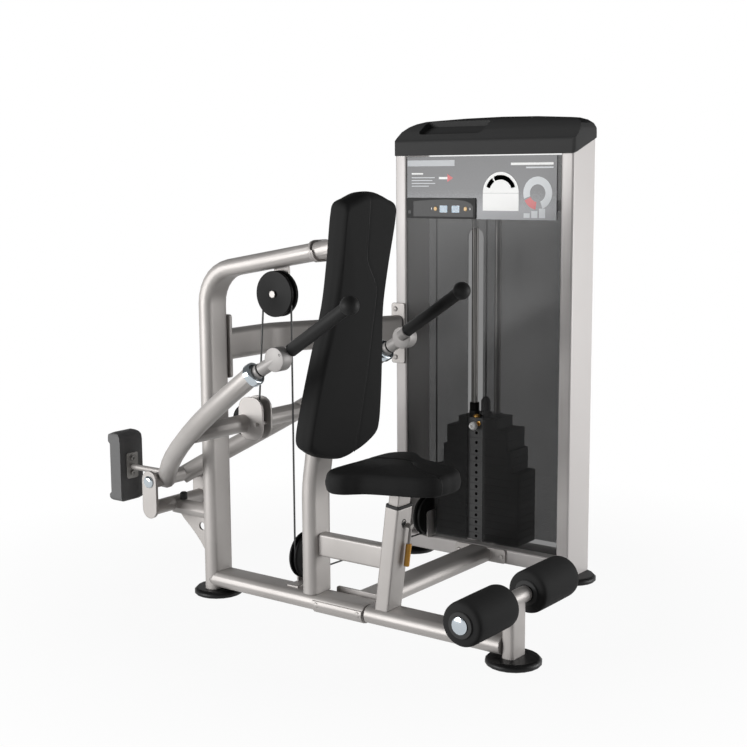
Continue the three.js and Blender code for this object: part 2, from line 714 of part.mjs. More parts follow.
const axleCap = { radius: 21, height: 11, face: 13 };
function addPivotAxle(group) {
  const half = pivot.span + pivot.plate + seam;
  const cap = (hand) => {
    const profile = [
      [0, half],
      [axleCap.radius, half],
      [axleCap.radius, half + axleCap.height / 3],
      [axleCap.face, half + axleCap.height],
      [0, half + axleCap.height],
    ];
    const geometry = turned(profile, sides.medium, 'y');
    return solidOf(hand < 0 ? geometry.rotateX(Math.PI) : geometry);
  };
  const bar = rod(point(0, -half - seam, 0), point(0, half + seam, 0), pivot.axle, sides.medium);
  addPiece(group, 'pivot_axle', joined(bar, cap(-1), cap(1)), 'chrome', point(pivot.x, 0, pivot.z));
}

// Rubber stop on the cantilever, under the lever's heel
const leverStop = { x: -158, radius: 13, height: 26, bevel: 5 };
function addLeverStop(group) {
  const seatZ = cantilever.z + cantilever.radius + seam;
  const profile = [
    [0, 0],
    [leverStop.radius, 0],
    [leverStop.radius, leverStop.height - leverStop.bevel],
    [leverStop.radius - leverStop.bevel, leverStop.height],
    [0, leverStop.height],
  ];
  const stop = solidOf(turned(profile, sides.fine));
  addPiece(group, 'lever_stop', stop, 'rubber', point(leverStop.x, 0, seatZ));
}

// Lever: two swept arms on a pivot tube, tied by a cross tube that carries the lever pulley
const armRoots = { x: -200, y: 39, z: 377 };
const armBow = { nearX: -50, nearInside: 86, nearZ: 496, farX: 208, farOutside: 92, farZ: 642 };
const leverCheek = { inner: 17.5, thick: 7, corner: 40, height: 142, length: 104, x: 182, z: 628 };
const tieRod = { x: 212, z: 612, radius: 7 };
const weightRod = { z: 389, radius: 10.5, to: -414 };
function armCurve(hand) {
  return new THREE.CubicBezierCurve3(
    point(armRoots.x, hand * armRoots.y, armRoots.z),
    point(armBow.nearX, hand * (crossTube.span - armBow.nearInside), armBow.nearZ),
    point(armBow.farX, hand * (crossTube.span + armBow.farOutside), armBow.farZ),
    point(arm.endX, hand * arm.endY, arm.endZ),
  );
}

function armSolid(hand, radius, count, extend) {
  const stations = smoothRoute(armCurve(hand), arm.steps);
  if (extend > 0) {
    const last = stations[stations.length - 1];
    const run = last.clone().sub(stations[stations.length - 2]).normalize();
    stations.push(last.clone().addScaledVector(run, extend));
    stations.splice(0, 2);
  }
  return solidOf(swept(polygon(radius, count), stations, point(0, 0, 1)));
}

function polygon(radius, count) {
  const corners = [];
  for (let i = 0; i < count; i += 1) {
    const angle = (i / count) * Math.PI * 2;
    corners.push([radius * Math.cos(angle), radius * Math.sin(angle)]);
  }
  return outline(corners);
}

function armAxis(hand) {
  const start = point(arm.endX, hand * arm.endY, arm.endZ);
  const end = point(puck.x, hand * puck.y, puck.z);
  return { start, end, run: end.clone().sub(start).normalize() };
}

const stub = { radius: 21, ringFrom: 48, ringWidth: 7, ringRadius: 18, inside: 25 };
function addLeverFrame(group) {
  const pivotTube = rod(
    point(pivot.x, -pivot.span + seam, pivot.z),
    point(pivot.x, pivot.span - seam, pivot.z),
    pivot.tube,
  );
  const axleBore = drilled(
    point(pivot.x, -pivot.span - overrun, pivot.z),
    point(pivot.x, pivot.span + overrun, pivot.z),
    pivot.axle + runningGap,
    sides.medium,
  );
  const cross = rod(
    point(crossTube.x, -crossTube.span, crossTube.z),
    point(crossTube.x, crossTube.span, crossTube.z),
    crossTube.radius,
    crossTube.sides,
  );
  const pulleySpace = rod(
    point(crossTube.x, -leverPulley.width / 2 - runningGap, crossTube.z),
    point(crossTube.x, leverPulley.width / 2 + runningGap, crossTube.z),
    crossTube.radius * 2,
    crossTube.sides,
  );
  const spindle = rod(
    point(leverPulley.x, -leverCheek.inner - leverCheek.thick, leverPulley.z),
    point(leverPulley.x, leverCheek.inner + leverCheek.thick, leverPulley.z),
    axleRadius,
    crossTube.sides,
  );
  const crossBore = (hand) => rod(
    point(crossTube.x, hand * (leverCheek.inner + leverCheek.thick * 2), crossTube.z),
    point(crossTube.x, hand * crossTube.span, crossTube.z),
    crossTube.radius - crossTube.wall,
    crossTube.sides,
  );
  const cheekShape = roundedRect(leverCheek.length, leverCheek.height, leverCheek.corner);
  const cheeks = [-1, 1].map((hand) => {
    const inner = hand * leverCheek.inner;
    const outer = hand * (leverCheek.inner + leverCheek.thick);
    const cheek = acrossY(cheekShape, Math.min(inner, outer), Math.max(inner, outer), arcs.rim);
    return solidOf(cheek.translate(leverCheek.x, 0, leverCheek.z));
  });
  const tie = rod(
    point(tieRod.x, -leverCheek.inner - leverCheek.thick * 3, tieRod.z),
    point(tieRod.x, leverCheek.inner + leverCheek.thick * 3, tieRod.z),
    tieRod.radius,
    sides.coarse,
  );
  const tail = rod(point(pivot.x, 0, weightRod.z), point(weightRod.to, 0, weightRod.z), weightRod.radius);
  const arms = [-1, 1].map((hand) => armSolid(hand, arm.radius, arm.sides, 0));
  const bores = [-1, 1].map((hand) => armSolid(hand, arm.radius - arm.wall, arm.boreSides, overrun));
  const crossHalves = cut(cross, pulleySpace);
  const shell = joined(...arms, crossHalves);
  const hollow = cut(shell, ...bores, crossBore(-1), crossBore(1));
  const whole = joined(hollow, pivotTube, ...cheeks, spindle, tie, tail);
  const squared = [-1, 1].map((hand) => {
    const axis = armAxis(hand);
    const beyond = axis.start.clone().addScaledVector(axis.run, collar.radius);
    return rod(axis.start, beyond, collar.radius * 2, sides.screw);
  });
  addPiece(group, 'lever_frame', cut(whole, axleBore, ...squared), 'frame');
}

// A ring across the arm's open end that guides the handle's shaft
const collar = { radius: 36, length: 24, back: 10 };
function alongRun(profile, count, origin, run) {
  const geometry = new THREE.LatheGeometry(profile.map(([r, h]) => new THREE.Vector2(r, h)), count);
  const turn = new THREE.Quaternion().setFromUnitVectors(point(0, 1, 0), run);
  return solidOf(geometry.applyQuaternion(turn).translate(origin.x, origin.y, origin.z));
}

function addHandle(group, hand, side) {
  const axis = armAxis(hand);
  const ringProfile = [
    [stub.radius + runningGap, seam],
    [collar.radius - 2 * seam, seam],
    [collar.radius, collar.back / 2],
    [collar.radius, collar.length - collar.back / 2],
    [collar.radius - collar.back / 2, collar.length],
    [stub.radius + runningGap, collar.length],
  ];
  ringProfile.push(ringProfile[0]);
  const ring = alongRun(ringProfile, sides.medium, axis.start, axis.run);
  addPiece(group, `arm_collar_${side}`, ring, 'chrome');

  const reach = axis.end.distanceTo(axis.start);
  const shaftProfile = [
    [0, -stub.inside],
    [stub.radius, -stub.inside],
    [stub.radius, stub.ringFrom],
    [stub.ringRadius, stub.ringFrom],
    [stub.ringRadius, stub.ringFrom + stub.ringWidth],
    [stub.radius, stub.ringFrom + stub.ringWidth],
    [stub.radius, reach],
    [0, reach],
  ];
  const shaft = alongRun(shaftProfile, sides.coarse, axis.start, axis.run);
  const puckSolid = rod(
    point(puck.x, hand * (puck.y - puck.half), puck.z),
    point(puck.x, hand * (puck.y + puck.half), puck.z),
    puck.radius,
    puck.sides,
  );
  const gripFrom = point(gripStart.x, hand * gripStart.y, gripStart.z);
  const gripTo = point(gripEnd.x, hand * gripEnd.y, gripEnd.z);
  const gripRun = gripTo.clone().sub(gripFrom).normalize();
  const gripLength = gripTo.distanceTo(gripFrom);
  const barRoot = point(puck.x, hand * (gripStart.y + puck.half / 3), puck.z + puck.half / 3);
  const neck = rod(barRoot, gripFrom, grip.neck, sides.coarse);
  const bar = rod(gripFrom.clone().addScaledVector(gripRun, -overrun), gripTo, grip.bar, sides.hidden);
  const sleeveSpace = alongRun([
    [grip.bar, 0],
    [grip.radius * 2, 0],
    [grip.radius * 2, gripLength],
    [grip.bar, gripLength],
    [grip.bar, 0],
  ], sides.hidden, gripFrom, gripRun);
  const knuckle = joined(cut(joined(shaft, puckSolid, neck), sleeveSpace), bar);
  addPiece(group, `handle_knuckle_${side}`, knuckle, 'frame');

  const ballCurve = [];
  const waist = Math.sqrt(grip.ball ** 2 - grip.radius ** 2);
  const turnFrom = Math.atan2(-waist, grip.radius);
  const ballSteps = 5;
  for (let i = 0; i <= ballSteps; i += 1) {
    const angle = turnFrom + ((Math.PI / 2 - turnFrom) * i) / ballSteps;
    ballCurve.push([grip.ball * Math.cos(angle), gripLength + grip.ball * Math.sin(angle)]);
  }
  ballCurve[ballSteps][0] = 0;
  const sleeve = [
    [grip.bar + seam, seam],
    [grip.radius, seam],
    ...ballCurve,
    [0, gripLength + seam],
    [grip.bar + seam, gripLength + seam],
    [grip.bar + seam, seam],
  ];
  addPiece(group, `grip_${side}`, alongRun(sleeve, sides.plain, gripFrom, gripRun), 'rubber');
}

// Cast counterweight behind the pivot
const counter = { from: -475, to: -415, half: 54, low: 265, high: 517, corner: 20, lip: 9, lipHigh: 34 };
const mountPlate = { half: 26, low: 347, high: 440, thick: 4 };
function addCounterweight(group) {
  const high = counter.high - counter.low;
  const side = new THREE.Shape();
  const back = counter.from;
  side.moveTo(counter.to, counter.low + counter.lip);
  side.lineTo(counter.to, counter.high - counter.lipHigh);
  side.quadraticCurveTo(counter.to, counter.high, back + counter.corner, counter.high);
  side.lineTo(back, counter.high - counter.lip);
  side.lineTo(back, counter.high - counter.lipHigh);
  side.lineTo(back + counter.lip, counter.high - counter.lipHigh - counter.lip);
  side.lineTo(back + counter.lip, counter.low + counter.lipHigh);
  side.lineTo(back, counter.low + counter.lipHigh - counter.lip);
  side.lineTo(back, counter.low + counter.lip);
  side.lineTo(back + counter.lip, counter.low);
  side.lineTo(counter.to - counter.lip, counter.low);
  const bar = solidOf(acrossY(side, -counter.half, counter.half, arcs.cap));
  const front = roundedRect(counter.half * 2, high, counter.corner);
  const around = acrossX(front, counter.from - overrun, counter.to + overrun, arcs.soft);
  const bounds = solidOf(around.translate(0, 0, counter.low + high / 2));
  const bore = drilled(
    point(weightRod.to - seam, 0, weightRod.z),
    point(pivot.x, 0, weightRod.z),
    weightRod.radius + seam,
  );
  const plateShape = roundedRect(mountPlate.half * 2, mountPlate.high - mountPlate.low, counter.lip);
  const plateSolid = solidOf(
    acrossX(plateShape, counter.to - seam, counter.to + mountPlate.thick)
      .translate(0, 0, (mountPlate.high + mountPlate.low) / 2),
  );
  const plateFace = counter.to + mountPlate.thick;
  const heads = [mountPlate.low + counter.corner, mountPlate.high - counter.corner].map((z) =>
    bolt(point(plateFace, 0, z), point(1, 0, 0), screw.head, screw.height, screw.shank / 2));
  const casting = bar.intersect(bounds);
  addPiece(group, 'counterweight', cut(joined(casting, plateSolid, ...heads), bore), 'rubber');
}

// Pulley: a grooved wheel turned about Z and laid on its axle
const webReachShare = 0.72;
const webThickShare = 0.62;
const grooveMouthShare = 1.6;
function pulleySolid(size, axis, bore) {
  const half = size.width / 2;
  const groove = size.line - cable.radius - cable.slack;
  const lip = cable.radius + cable.slack * 2;
  const web = size.rim * webReachShare;
  const webHalf = half * webThickShare;
  const hub = bore * 2;
  const dish = (side) => [
    [hub, side * half],
    [web, side * webHalf],
  ];
  const profile = [
    [bore, -half],
    ...(size.web ? dish(-1) : []),
    [size.rim, -half],
    [size.rim, -lip * grooveMouthShare],
    [groove, -lip],
    [groove, lip],
    [size.rim, lip * grooveMouthShare],
    [size.rim, half],
    ...(size.web ? dish(1).reverse() : []),
    [bore, half],
    [bore, -half],
  ];
  return solidOf(turned(profile, size.sides, axis));
}

function addPulleys(group) {
  const bore = axleRadius + runningGap;
  addPiece(group, 'top_pulley', pulleySolid(topPulley, 'y', bore), 'blackPlastic',
    point(topPulley.x, 0, topPulley.z));
  addPiece(group, 'rear_lower_pulley', pulleySolid(rearLowerPulley, 'x', bore), 'blackPlastic',
    point(dropX, rearLowerPulley.line, rearLowerPulley.z));
  addPiece(group, 'tower_lower_pulley', pulleySolid(towerLowerPulley, 'x', bore), 'blackPlastic',
    point(dropX, towerMiddle - towerLowerPulley.line, towerLowerPulley.z));
  addPiece(group, 'tower_top_pulley_left', pulleySolid(crownPulley, 'y', bore), 'blackPlastic',
    point(dropX + crownPulley.line, towerMiddle, crownPulley.z));
  addPiece(group, 'tower_top_pulley_right', pulleySolid(crownPulley, 'y', bore), 'blackPlastic',
    point(stack.x - crownPulley.line, towerMiddle, crownPulley.z));
}

function addLeverPulley(group) {
  addPiece(group, 'lever_pulley', pulleySolid(leverPulley, 'y', axleRadius + seam), 'greyPlastic',
    point(leverPulley.x, 0, leverPulley.z));
}

// Brackets that hold the lower pulleys
const lowBracket = { thick: 6, wide: 54, corner: 20, sole: 5, lap: 15 };
function lowerPulleyBracket(x, y, z, size, floorZ, behind = lowBracket.wide / 2) {
  const half = size.width / 2 + slidingGap;
  const cheeks = [-1, 1].map((hand) => {
    const inner = hand * half;
    const outer = hand * (half + lowBracket.thick);
    const high = z + lowBracket.corner - floorZ;
    const shape = roundedRect(lowBracket.wide, high, lowBracket.corner / 2);
    const cheek = acrossX(shape, x + Math.min(inner, outer), x + Math.max(inner, outer));
    return solidOf(cheek.translate(0, y, floorZ + high / 2));
  });
  const reach = half + lowBracket.thick;
  const sole = block(
    [x - reach, x + reach],
    [y - behind, y + lowBracket.wide / 2],
    [floorZ, floorZ + lowBracket.sole],
  );
  const axle = rod(point(x - reach, y, z), point(x + reach, y, z), axleRadius);
  return joined(...cheeks, sole, axle);
}

// Cable
function cableSection() {
  return polygon(cable.radius, cable.sides);
}

function wrap(middle, radius, from, to, plane) {
  const steps = Math.ceil(Math.abs(to - from) / cable.stepAngle);
  const stations = [];
  for (let i = 0; i <= steps; i += 1) {
    const angle = from + ((to - from) * i) / steps;
    const aside = radius * Math.cos(angle);
    const up = radius * Math.sin(angle);
    const place = plane === 'xz' ? point(aside, 0, up) : point(0, aside, up);
    stations.push(place.add(middle));
  }
  return stations;
}

const fullTurn = Math.PI * 2;
const halfTurn = Math.PI;
const quarterTurn = Math.PI / 2;

// The strand between the top pulley and the lever pulley touches both on their facing sides
function leverStrandTangents() {
  const top = point(topPulley.x, 0, topPulley.z);
  const low = point(leverPulley.x, 0, leverPulley.z);
  const apart = low.clone().sub(top);
  const heading = Math.atan2(apart.z, apart.x);
  const swing = Math.acos((topPulley.line + leverPulley.line) / apart.length());
  return { top, low, topAngle: heading - swing, lowAngle: heading - swing + halfTurn };
}

function addCables(group) {
  const tangents = leverStrandTangents();
  const lowMiddle = point(dropX, rearLowerPulley.line, rearLowerPulley.z);
  const towerLow = point(dropX, towerMiddle - towerLowerPulley.line, towerLowerPulley.z);
  const crownLeft = point(dropX + crownPulley.line, towerMiddle, crownPulley.z);
  const crownRight = point(stack.x - crownPulley.line, towerMiddle, crownPulley.z);
  const topStart = (tangents.topAngle + fullTurn) % fullTurn;
  const planar = [
    ...wrap(tangents.top, topPulley.line, topStart, 0, 'xz'),
    ...wrap(lowMiddle, rearLowerPulley.line, halfTurn, halfTurn + quarterTurn + runTilt, 'yz'),
    ...wrap(towerLow, towerLowerPulley.line, runTilt - quarterTurn, 0, 'yz'),
    ...wrap(crownLeft, crownPulley.line, halfTurn, quarterTurn, 'xz'),
    ...wrap(crownRight, crownPulley.line, quarterTurn, 0, 'xz'),
  ];
  addPiece(group, 'cable_run', cableSolid(planar), 'rubber');

  const topEnd = planar[0];
  const strandTop = topEnd.clone();
  const low = wrap(tangents.low, leverPulley.line, tangents.lowAngle, tangents.lowAngle - halfTurn, 'xz');
  const down = low[0].clone().sub(strandTop).normalize();
  const stations = [strandTop.addScaledVector(down, cable.slack), ...low];
  addPiece(group, 'cable_lever_strand', cableSolid(stations), 'rubber');

  const dropTop = crownPulley.z - cable.slack;
  const dropEnd = headTop() + head.neckHeight + head.collarHeight + seam;
  const at = (z) => point(stack.x, towerMiddle, z);
  const drop = rod(at(dropTop), at(dropEnd), cable.radius, cable.sides);
  addPiece(group, 'cable_stack_strand', drop, 'rubber');
}

// The cable changes plane only on a straight run, so its section is turned with the run
function cableSolid(stations) {
  const section = cableSection();
  const frames = parallelFrames(stations);
  const curve = new StationPath(stations, point(0, 1, 0));
  curve.computeFrenetFrames = () => frames;
  return solidOf(new THREE.ExtrudeGeometry(section, {
    steps: stations.length - 1,
    extrudePath: curve,
    curveSegments: arcs.plate,
  }));
}

const nearlyShare = 0.9;
function parallelFrames(stations) {
  const tangents = new StationPath(stations, point(0, 1, 0)).computeFrenetFrames().tangents;
  const normals = [];
  const binormals = [];
  const seed = Math.abs(tangents[0].y) < nearlyShare ? point(0, 1, 0) : point(1, 0, 0);
  let normal = seed.addScaledVector(tangents[0], -seed.dot(tangents[0])).normalize();
  tangents.forEach((tangent) => {
    normal = normal.clone().addScaledVector(tangent, -normal.dot(tangent)).normalize();
    normals.push(normal);
    binormals.push(tangent.clone().cross(normal));
  });
  return { tangents, normals, binormals };
}

// Tower
function slopedTop(grow) {
  const depth = tower.back - tower.front;
  const slope = (tower.topBack - tower.topFront) / depth;
  return (y) => tower.topFront + (y - tower.front) * slope + grow;
}

function aboveSlope(grow) {
  const line = slopedTop(grow);
  const near = tower.front - tube.wide;
  const far = tower.back + tube.wide;
  const shape = outline([
    [near, line(near)],
    [far, line(far)],
    [far, line(far) + tube.wide * 3],
    [near, line(near) + tube.wide * 3],
  ]);
  return solidOf(acrossX(shape, tower.left - tube.wide, tower.right + tube.wide));
}

function addTowerPosts(group) {
  const shape = roundedRect(tower.post, tower.back - tower.front, tower.corner);
  const places = { left: tower.left + tower.post / 2, right: tower.right - tower.post / 2 };
  for (const [side, x] of Object.entries(places)) {
    const bar = upright(shape, foot.height + seam, tower.topBack + overrun);
    const post = solidOf(bar.translate(x, towerMiddle, 0));
    addPiece(group, `tower_post_${side}`, cut(post, aboveSlope(0)), 'frame');
  }
}

const bumper = { radius: 24, height: 15.6 };
const rodSeat = 10;
function addTowerBase(group) {
  const section = roundedRect(baseBar.depth, baseBar.height, baseBar.corner);
  const at = [0, towerMiddle, baseBar.bottom + baseBar.height / 2];
  const bar = solidOf(acrossX(section, towerInner.left, towerInner.right).translate(...at));
  const rings = rodPlaces().map((x) => rod(
    point(x, towerMiddle, baseBarTop - seam),
    point(x, towerMiddle, baseBarTop + bumper.height),
    bumper.radius,
  ));
  const sockets = rodPlaces().map((x) => drilled(
    point(x, towerMiddle, baseBarTop - rodSeat - seam),
    point(x, towerMiddle, baseBarTop + overrun * 2),
    stack.rod + seam,
  ));
  const z = towerLowerPulley.z;
  const y = towerMiddle - towerLowerPulley.line;
  const holder = lowerPulleyBracket(dropX, y, z, towerLowerPulley, baseBarTop - seam);
  const whole = joined(bar, ...rings, holder);
  addPiece(group, 'tower_base_bar', cut(whole, ...sockets, cableClearance()), 'frame');
}

const cableGuard = 3;
function cableClearance() {
  const span = [towerMiddle - towerLowerPulley.line * 2, towerMiddle];
  const half = cable.radius + cableGuard;
  const low = towerLowerPulley.z - towerLowerPulley.line;
  return block([dropX - half, dropX + half], span, [low - half, low + half]);
}

function rodPlaces() {
  return [stack.x - stack.rodSpread, stack.x + stack.rodSpread];
}

const topBar = { bottom: 1290, height: 38, depth: 60, corner: 5 };
const cableHole = 9;
function addTowerTop(group) {
  const section = roundedRect(topBar.depth, topBar.height, topBar.corner);
  const at = [0, towerMiddle, topBar.bottom + topBar.height / 2];
  const bar = solidOf(acrossX(section, towerInner.left, towerInner.right).translate(...at));
  const pulleys = [dropX + crownPulley.line, stack.x - crownPulley.line];
  const half = crownPulley.width / 2 + slidingGap;
  const from = pulleys[0] - axleRadius * 2;
  const to = pulleys[1] + axleRadius * 2;
  const high = crownPulley.z + axleRadius * 2;
  const barTop = topBar.bottom + topBar.height;
  const cheeks = [-1, 1].map((hand) => {
    const inner = towerMiddle + hand * half;
    const outer = towerMiddle + hand * (half + lowBracket.thick);
    return block([from, to], [Math.min(inner, outer), Math.max(inner, outer)], [barTop - seam, high]);
  });
  const passages = [dropX, stack.x].map((x) => rod(
    point(x, towerMiddle, topBar.bottom - overrun),
    point(x, towerMiddle, barTop + overrun),
    cableHole,
    sides.hidden,
  ));
  const axles = pulleys.map((x) => rod(
    point(x, towerMiddle - half - seam, crownPulley.z),
    point(x, towerMiddle + half + seam, crownPulley.z),
    axleRadius,
  ));
  const sockets = rodPlaces().map((x) => drilled(
    point(x, towerMiddle, topBar.bottom - overrun),
    point(x, towerMiddle, topBar.bottom + rodSeat + seam),
    stack.rod + seam,
  ));
  addPiece(group, 'tower_top_bar', cut(joined(bar, ...cheeks, ...axles), ...sockets, ...passages), 'frame');
}

function addGuideRods(group) {
  for (const [side, x] of [['left', rodPlaces()[0]], ['right', rodPlaces()[1]]]) {
    const length = topBar.bottom + rodSeat - (baseBarTop - rodSeat);
    const bar = rod(point(0, 0, 0), point(0, 0, length), stack.rod, sides.fine);
    addPiece(group, `guide_rod_${side}`, bar, 'chrome', point(x, towerMiddle, baseBarTop - rodSeat));
  }
}

// Cap: a moulded hood, crowned across and rising to the back
const cap = { overhang: 5, wall: 10, corner: 14, frontTop: 1541, rearTop: 1618, arch: 22, shoulder: 70 };
const tray = { left: 292, right: 560, front: 778, back: 866, depth: 9, corner: 18, wall: 4 };
function capForm(inset) {
  const left = tower.left - cap.overhang + inset;
  const right = tower.right + cap.overhang - inset;
  const front = tower.front - cap.overhang + inset;
  const back = tower.back + cap.overhang - inset;
  const line = slopedTop(inset > 0 ? -overrun : seam);
  const side = new THREE.Shape();
  side.moveTo(front, line(front));
  side.lineTo(back, line(back));
  side.lineTo(back, cap.rearTop - cap.corner - inset);
  side.quadraticCurveTo(back, cap.rearTop - inset, back - cap.corner, cap.rearTop - inset);
  const crest = cap.rearTop - cap.arch / 2 - inset;
  const browTop = cap.frontTop - inset;
  side.quadraticCurveTo((front + back) / 2, crest, front + cap.corner, browTop);
  side.quadraticCurveTo(front, browTop - cap.corner / 2, front, browTop - cap.corner);
  const sweepSide = solidOf(acrossX(side, left, right, arcs.cap));
  const middle = (left + right) / 2;
  const archTop = cap.rearTop - inset;
  const low = tower.topFront - overrun * 2;
  const crossways = new THREE.Shape();
  crossways.moveTo(left, low);
  crossways.lineTo(right, low);
  crossways.lineTo(right, archTop - cap.shoulder);
  crossways.quadraticCurveTo(right, archTop - cap.arch, right - cap.shoulder, archTop - cap.arch / 2);
  crossways.quadraticCurveTo(middle, archTop + cap.arch / 2, left + cap.shoulder, archTop - cap.arch / 2);
  crossways.quadraticCurveTo(left, archTop - cap.arch, left, archTop - cap.shoulder);
  const sweepFront = solidOf(acrossY(crossways, front, back, arcs.cap));
  const plan = roundedRect(right - left, back - front, cap.corner);
  const planBar = upright(plan, low, archTop + cap.arch, arcs.rim);
  const sweepPlan = solidOf(planBar.translate(middle, (front + back) / 2, 0));
  return sweepSide.intersect(sweepFront).intersect(sweepPlan);
}

function addCap(group) {
  const trayShape = roundedRect(tray.right - tray.left, tray.back - tray.front, tray.corner);
  const slope = Math.atan2(cap.rearTop - cap.frontTop, tower.back - tower.front);
  const trayMiddle = point((tray.left + tray.right) / 2, (tray.front + tray.back) / 2, 0);
  const shareAcross = (trayMiddle.y - tower.front) / (tower.back - tower.front);
  const surface = cap.frontTop + (cap.rearTop - cap.frontTop) * shareAcross;
  const pocket = upright(trayShape, -tray.depth, cap.shoulder, arcs.rim).rotateX(slope);
  pocket.translate(trayMiddle.x, trayMiddle.y, surface);
  const basinShape = roundedRect(
    tray.right - tray.left + tray.wall * 2,
    tray.back - tray.front + tray.wall * 2,
    tray.corner + tray.wall,
  );
  const basin = upright(basinShape, -tray.depth - tray.wall, cap.shoulder, arcs.rim).rotateX(slope);
  basin.translate(trayMiddle.x, trayMiddle.y, surface);
  const hood = cut(capForm(0), cut(capForm(cap.wall), solidOf(basin)));
  addPiece(group, 'tower_cap', cut(hood, solidOf(pocket)), 'blackPlastic');
}

// Shrouds, placard and counter
const shroud = {
  thick: 5, inset: 5.5, back: 4.5, bottom: 100, top: 1480, slotLeft: 525, slotRight: 590, slotTop: 1230,
};
const shroudFront = tower.front + shroud.inset;
const notchGap = 16;
function addShrouds(group) {
  const left = towerInner.left;
  const right = towerInner.right;
  const radius = (shroud.slotRight - shroud.slotLeft) / 2;
  const middle = (shroud.slotRight + shroud.slotLeft) / 2;
  const shape = new THREE.Shape();
  const notchRight = dropX + towerLowerPulley.width / 2 + lowBracket.thick + notchGap;
  const notchTop = towerLowerPulley.z + towerLowerPulley.rim + notchGap;
  shape.moveTo(left, notchTop);
  shape.lineTo(notchRight, notchTop);
  shape.lineTo(notchRight, shroud.bottom);
  shape.lineTo(shroud.slotLeft, shroud.bottom);
  shape.lineTo(shroud.slotLeft, shroud.slotTop - radius);
  shape.absarc(middle, shroud.slotTop - radius, radius, Math.PI, 0, true);
  shape.lineTo(shroud.slotRight, shroud.bottom);
  shape.lineTo(right, shroud.bottom);
  shape.lineTo(right, shroud.top);
  shape.lineTo(left, shroud.top);
  const frontSheet = acrossY(shape, shroudFront, shroudFront + shroud.thick, arcs.wide);
  addPiece(group, 'front_shroud', solidOf(frontSheet), 'smoked');
  const rearY = tower.back - shroud.back - shroud.thick;
  const rearSheet = block([left, right], [rearY, rearY + shroud.thick], [shroud.bottom, shroud.top]);
  addPiece(group, 'rear_shroud', rearSheet, 'smoked');
}

const placard = { left: 266, right: 879, low: 1261, high: 1479, thick: 3 };
const housing = { right: 561, high: 1334, thick: 8, corner: 6, face: 1.2 };
const button = { radius: 8, z: 1296, left: 393, right: 520, proud: 2.2, travel: 1.6 };
const windows = [{ left: 411, right: 443 }, { left: 462, right: 494 }];
const windowSize = { low: 1283, high: 1307 };
const tokenHole = { left: 272, right: 287, low: 1276, high: 1290 };
function addPlacard(group) {
  const back = shroudFront - seam;
  const face = back - placard.thick;
  const whole = block([placard.left, placard.right], [face, back], [placard.low, placard.high]);
  const notch = block(
    [placard.left - overrun, housing.right + seam],
    [back - overrun * 2, back + overrun],
    [placard.low - overrun, housing.high + seam],
  );
  addPiece(group, 'placard', cut(whole, notch), 'placard');
  const front = back - housing.thick;
  const shape = roundedRect(housing.right - placard.left, housing.high - placard.low, housing.corner);
  const body = solidOf(acrossY(shape, front, back)
    .translate((placard.left + housing.right) / 2, 0, (placard.low + housing.high) / 2));
  const recesses = windows.map(({ left, right }) =>
    block([left, right], [front - overrun, front + housing.face], [windowSize.low, windowSize.high]));
  const token = block(
    [tokenHole.left, tokenHole.right],
    [front - overrun, front + housing.face * 3],
    [tokenHole.low, tokenHole.high],
  );
  const wells = [button.left, button.right].map((x) => drilled(
    point(x, front - overrun, button.z),
    point(x, back - housing.face, button.z),
    button.radius + runningGap,
    sides.coarse,
  ));
  addPiece(group, 'counter_housing', cut(body, ...recesses, token, ...wells), 'blackPlastic');
  for (const [side, x] of [['left', button.left], ['right', button.right]]) {
    const depth = housing.thick - housing.face - button.travel - seam;
    const profile = [
      [0, depth],
      [button.radius, depth],
      [button.radius, 0],
      [button.radius - button.proud / 2, -button.proud],
      [0, -button.proud],
    ];
    const form = solidOf(turned(profile, sides.coarse, 'y'));
    addPiece(group, `counter_button_${side}`, form, 'amber', point(x, front, button.z));
  }
}

// Weight stack. Plate corners are single chamfers.
function tierSolid(tier, bottom) {
  const pitch = tier.pitch ?? plate.pitch;
  const high = tier.plates * pitch;
  const shape = roundedRect(tier.width, stack.depth, plate.corner);
  const bar = upright(shape, bottom, bottom + high - seam, arcs.chamfer);
  const body = solidOf(bar.translate(stack.x, towerMiddle, 0));
  const inset = plate.grooveDepth * 2;
  const inner = roundedRect(tier.width - inset, stack.depth - inset, plate.corner / 2);
  const outer = roundedRect(tier.width + overrun, stack.depth + overrun, plate.corner);
  const grooves = [];
  for (let i = 1; i < tier.plates; i += 1) {
    const z = bottom + i * pitch;
    const ring = cut(
      solidOf(upright(outer, z - plate.groove / 2, z + plate.groove / 2, arcs.chamfer)),
      solidOf(upright(inner, z - plate.groove, z + plate.groove, arcs.chamfer)),
    );
    grooves.push(ring.translate(stack.x, towerMiddle, 0));
  }
  const holes = [];
  for (let i = 0; i < tier.plates; i += 1) {
    const z = bottom + (i + halfShare) * pitch;
    const drill = drilled(
      point(stack.x, stackFront - overrun, z),
      point(stack.x, towerMiddle, z),
      pinSize.radius + runningGap,
      sides.drill,
    );
    holes.push(drill);
  }
  const rodBores = rodPlaces().map((x) => [x, stack.rod + slidingGap]);
  const bores = [...rodBores, [stack.x, stack.stem + slidingGap]];
  const drills = bores.map(([x, radius]) => drilled(
    point(x, towerMiddle, bottom - overrun),
    point(x, towerMiddle, bottom + high + overrun),
    radius,
    sides.coarse,
  ));
  return cut(body, ...grooves, ...holes, ...drills);
}
const pinSize = { radius: 5, knob: 16, shank: 6, shankRadius: 6.5, depth: 16 };

function tierHeight(tier) {
  return tier.plates * (tier.pitch ?? plate.pitch);
}

const tierBottoms = {
  fourth: stack.bottom,
  third: stack.bottom + tierHeight(tiers.fourth),
  second: stack.bottom + tierHeight(tiers.fourth) + tierHeight(tiers.third),
};
const headBottom = tierBottoms.second + tierHeight(tiers.second);

function headTop() {
  return headBottom + head.height;
}

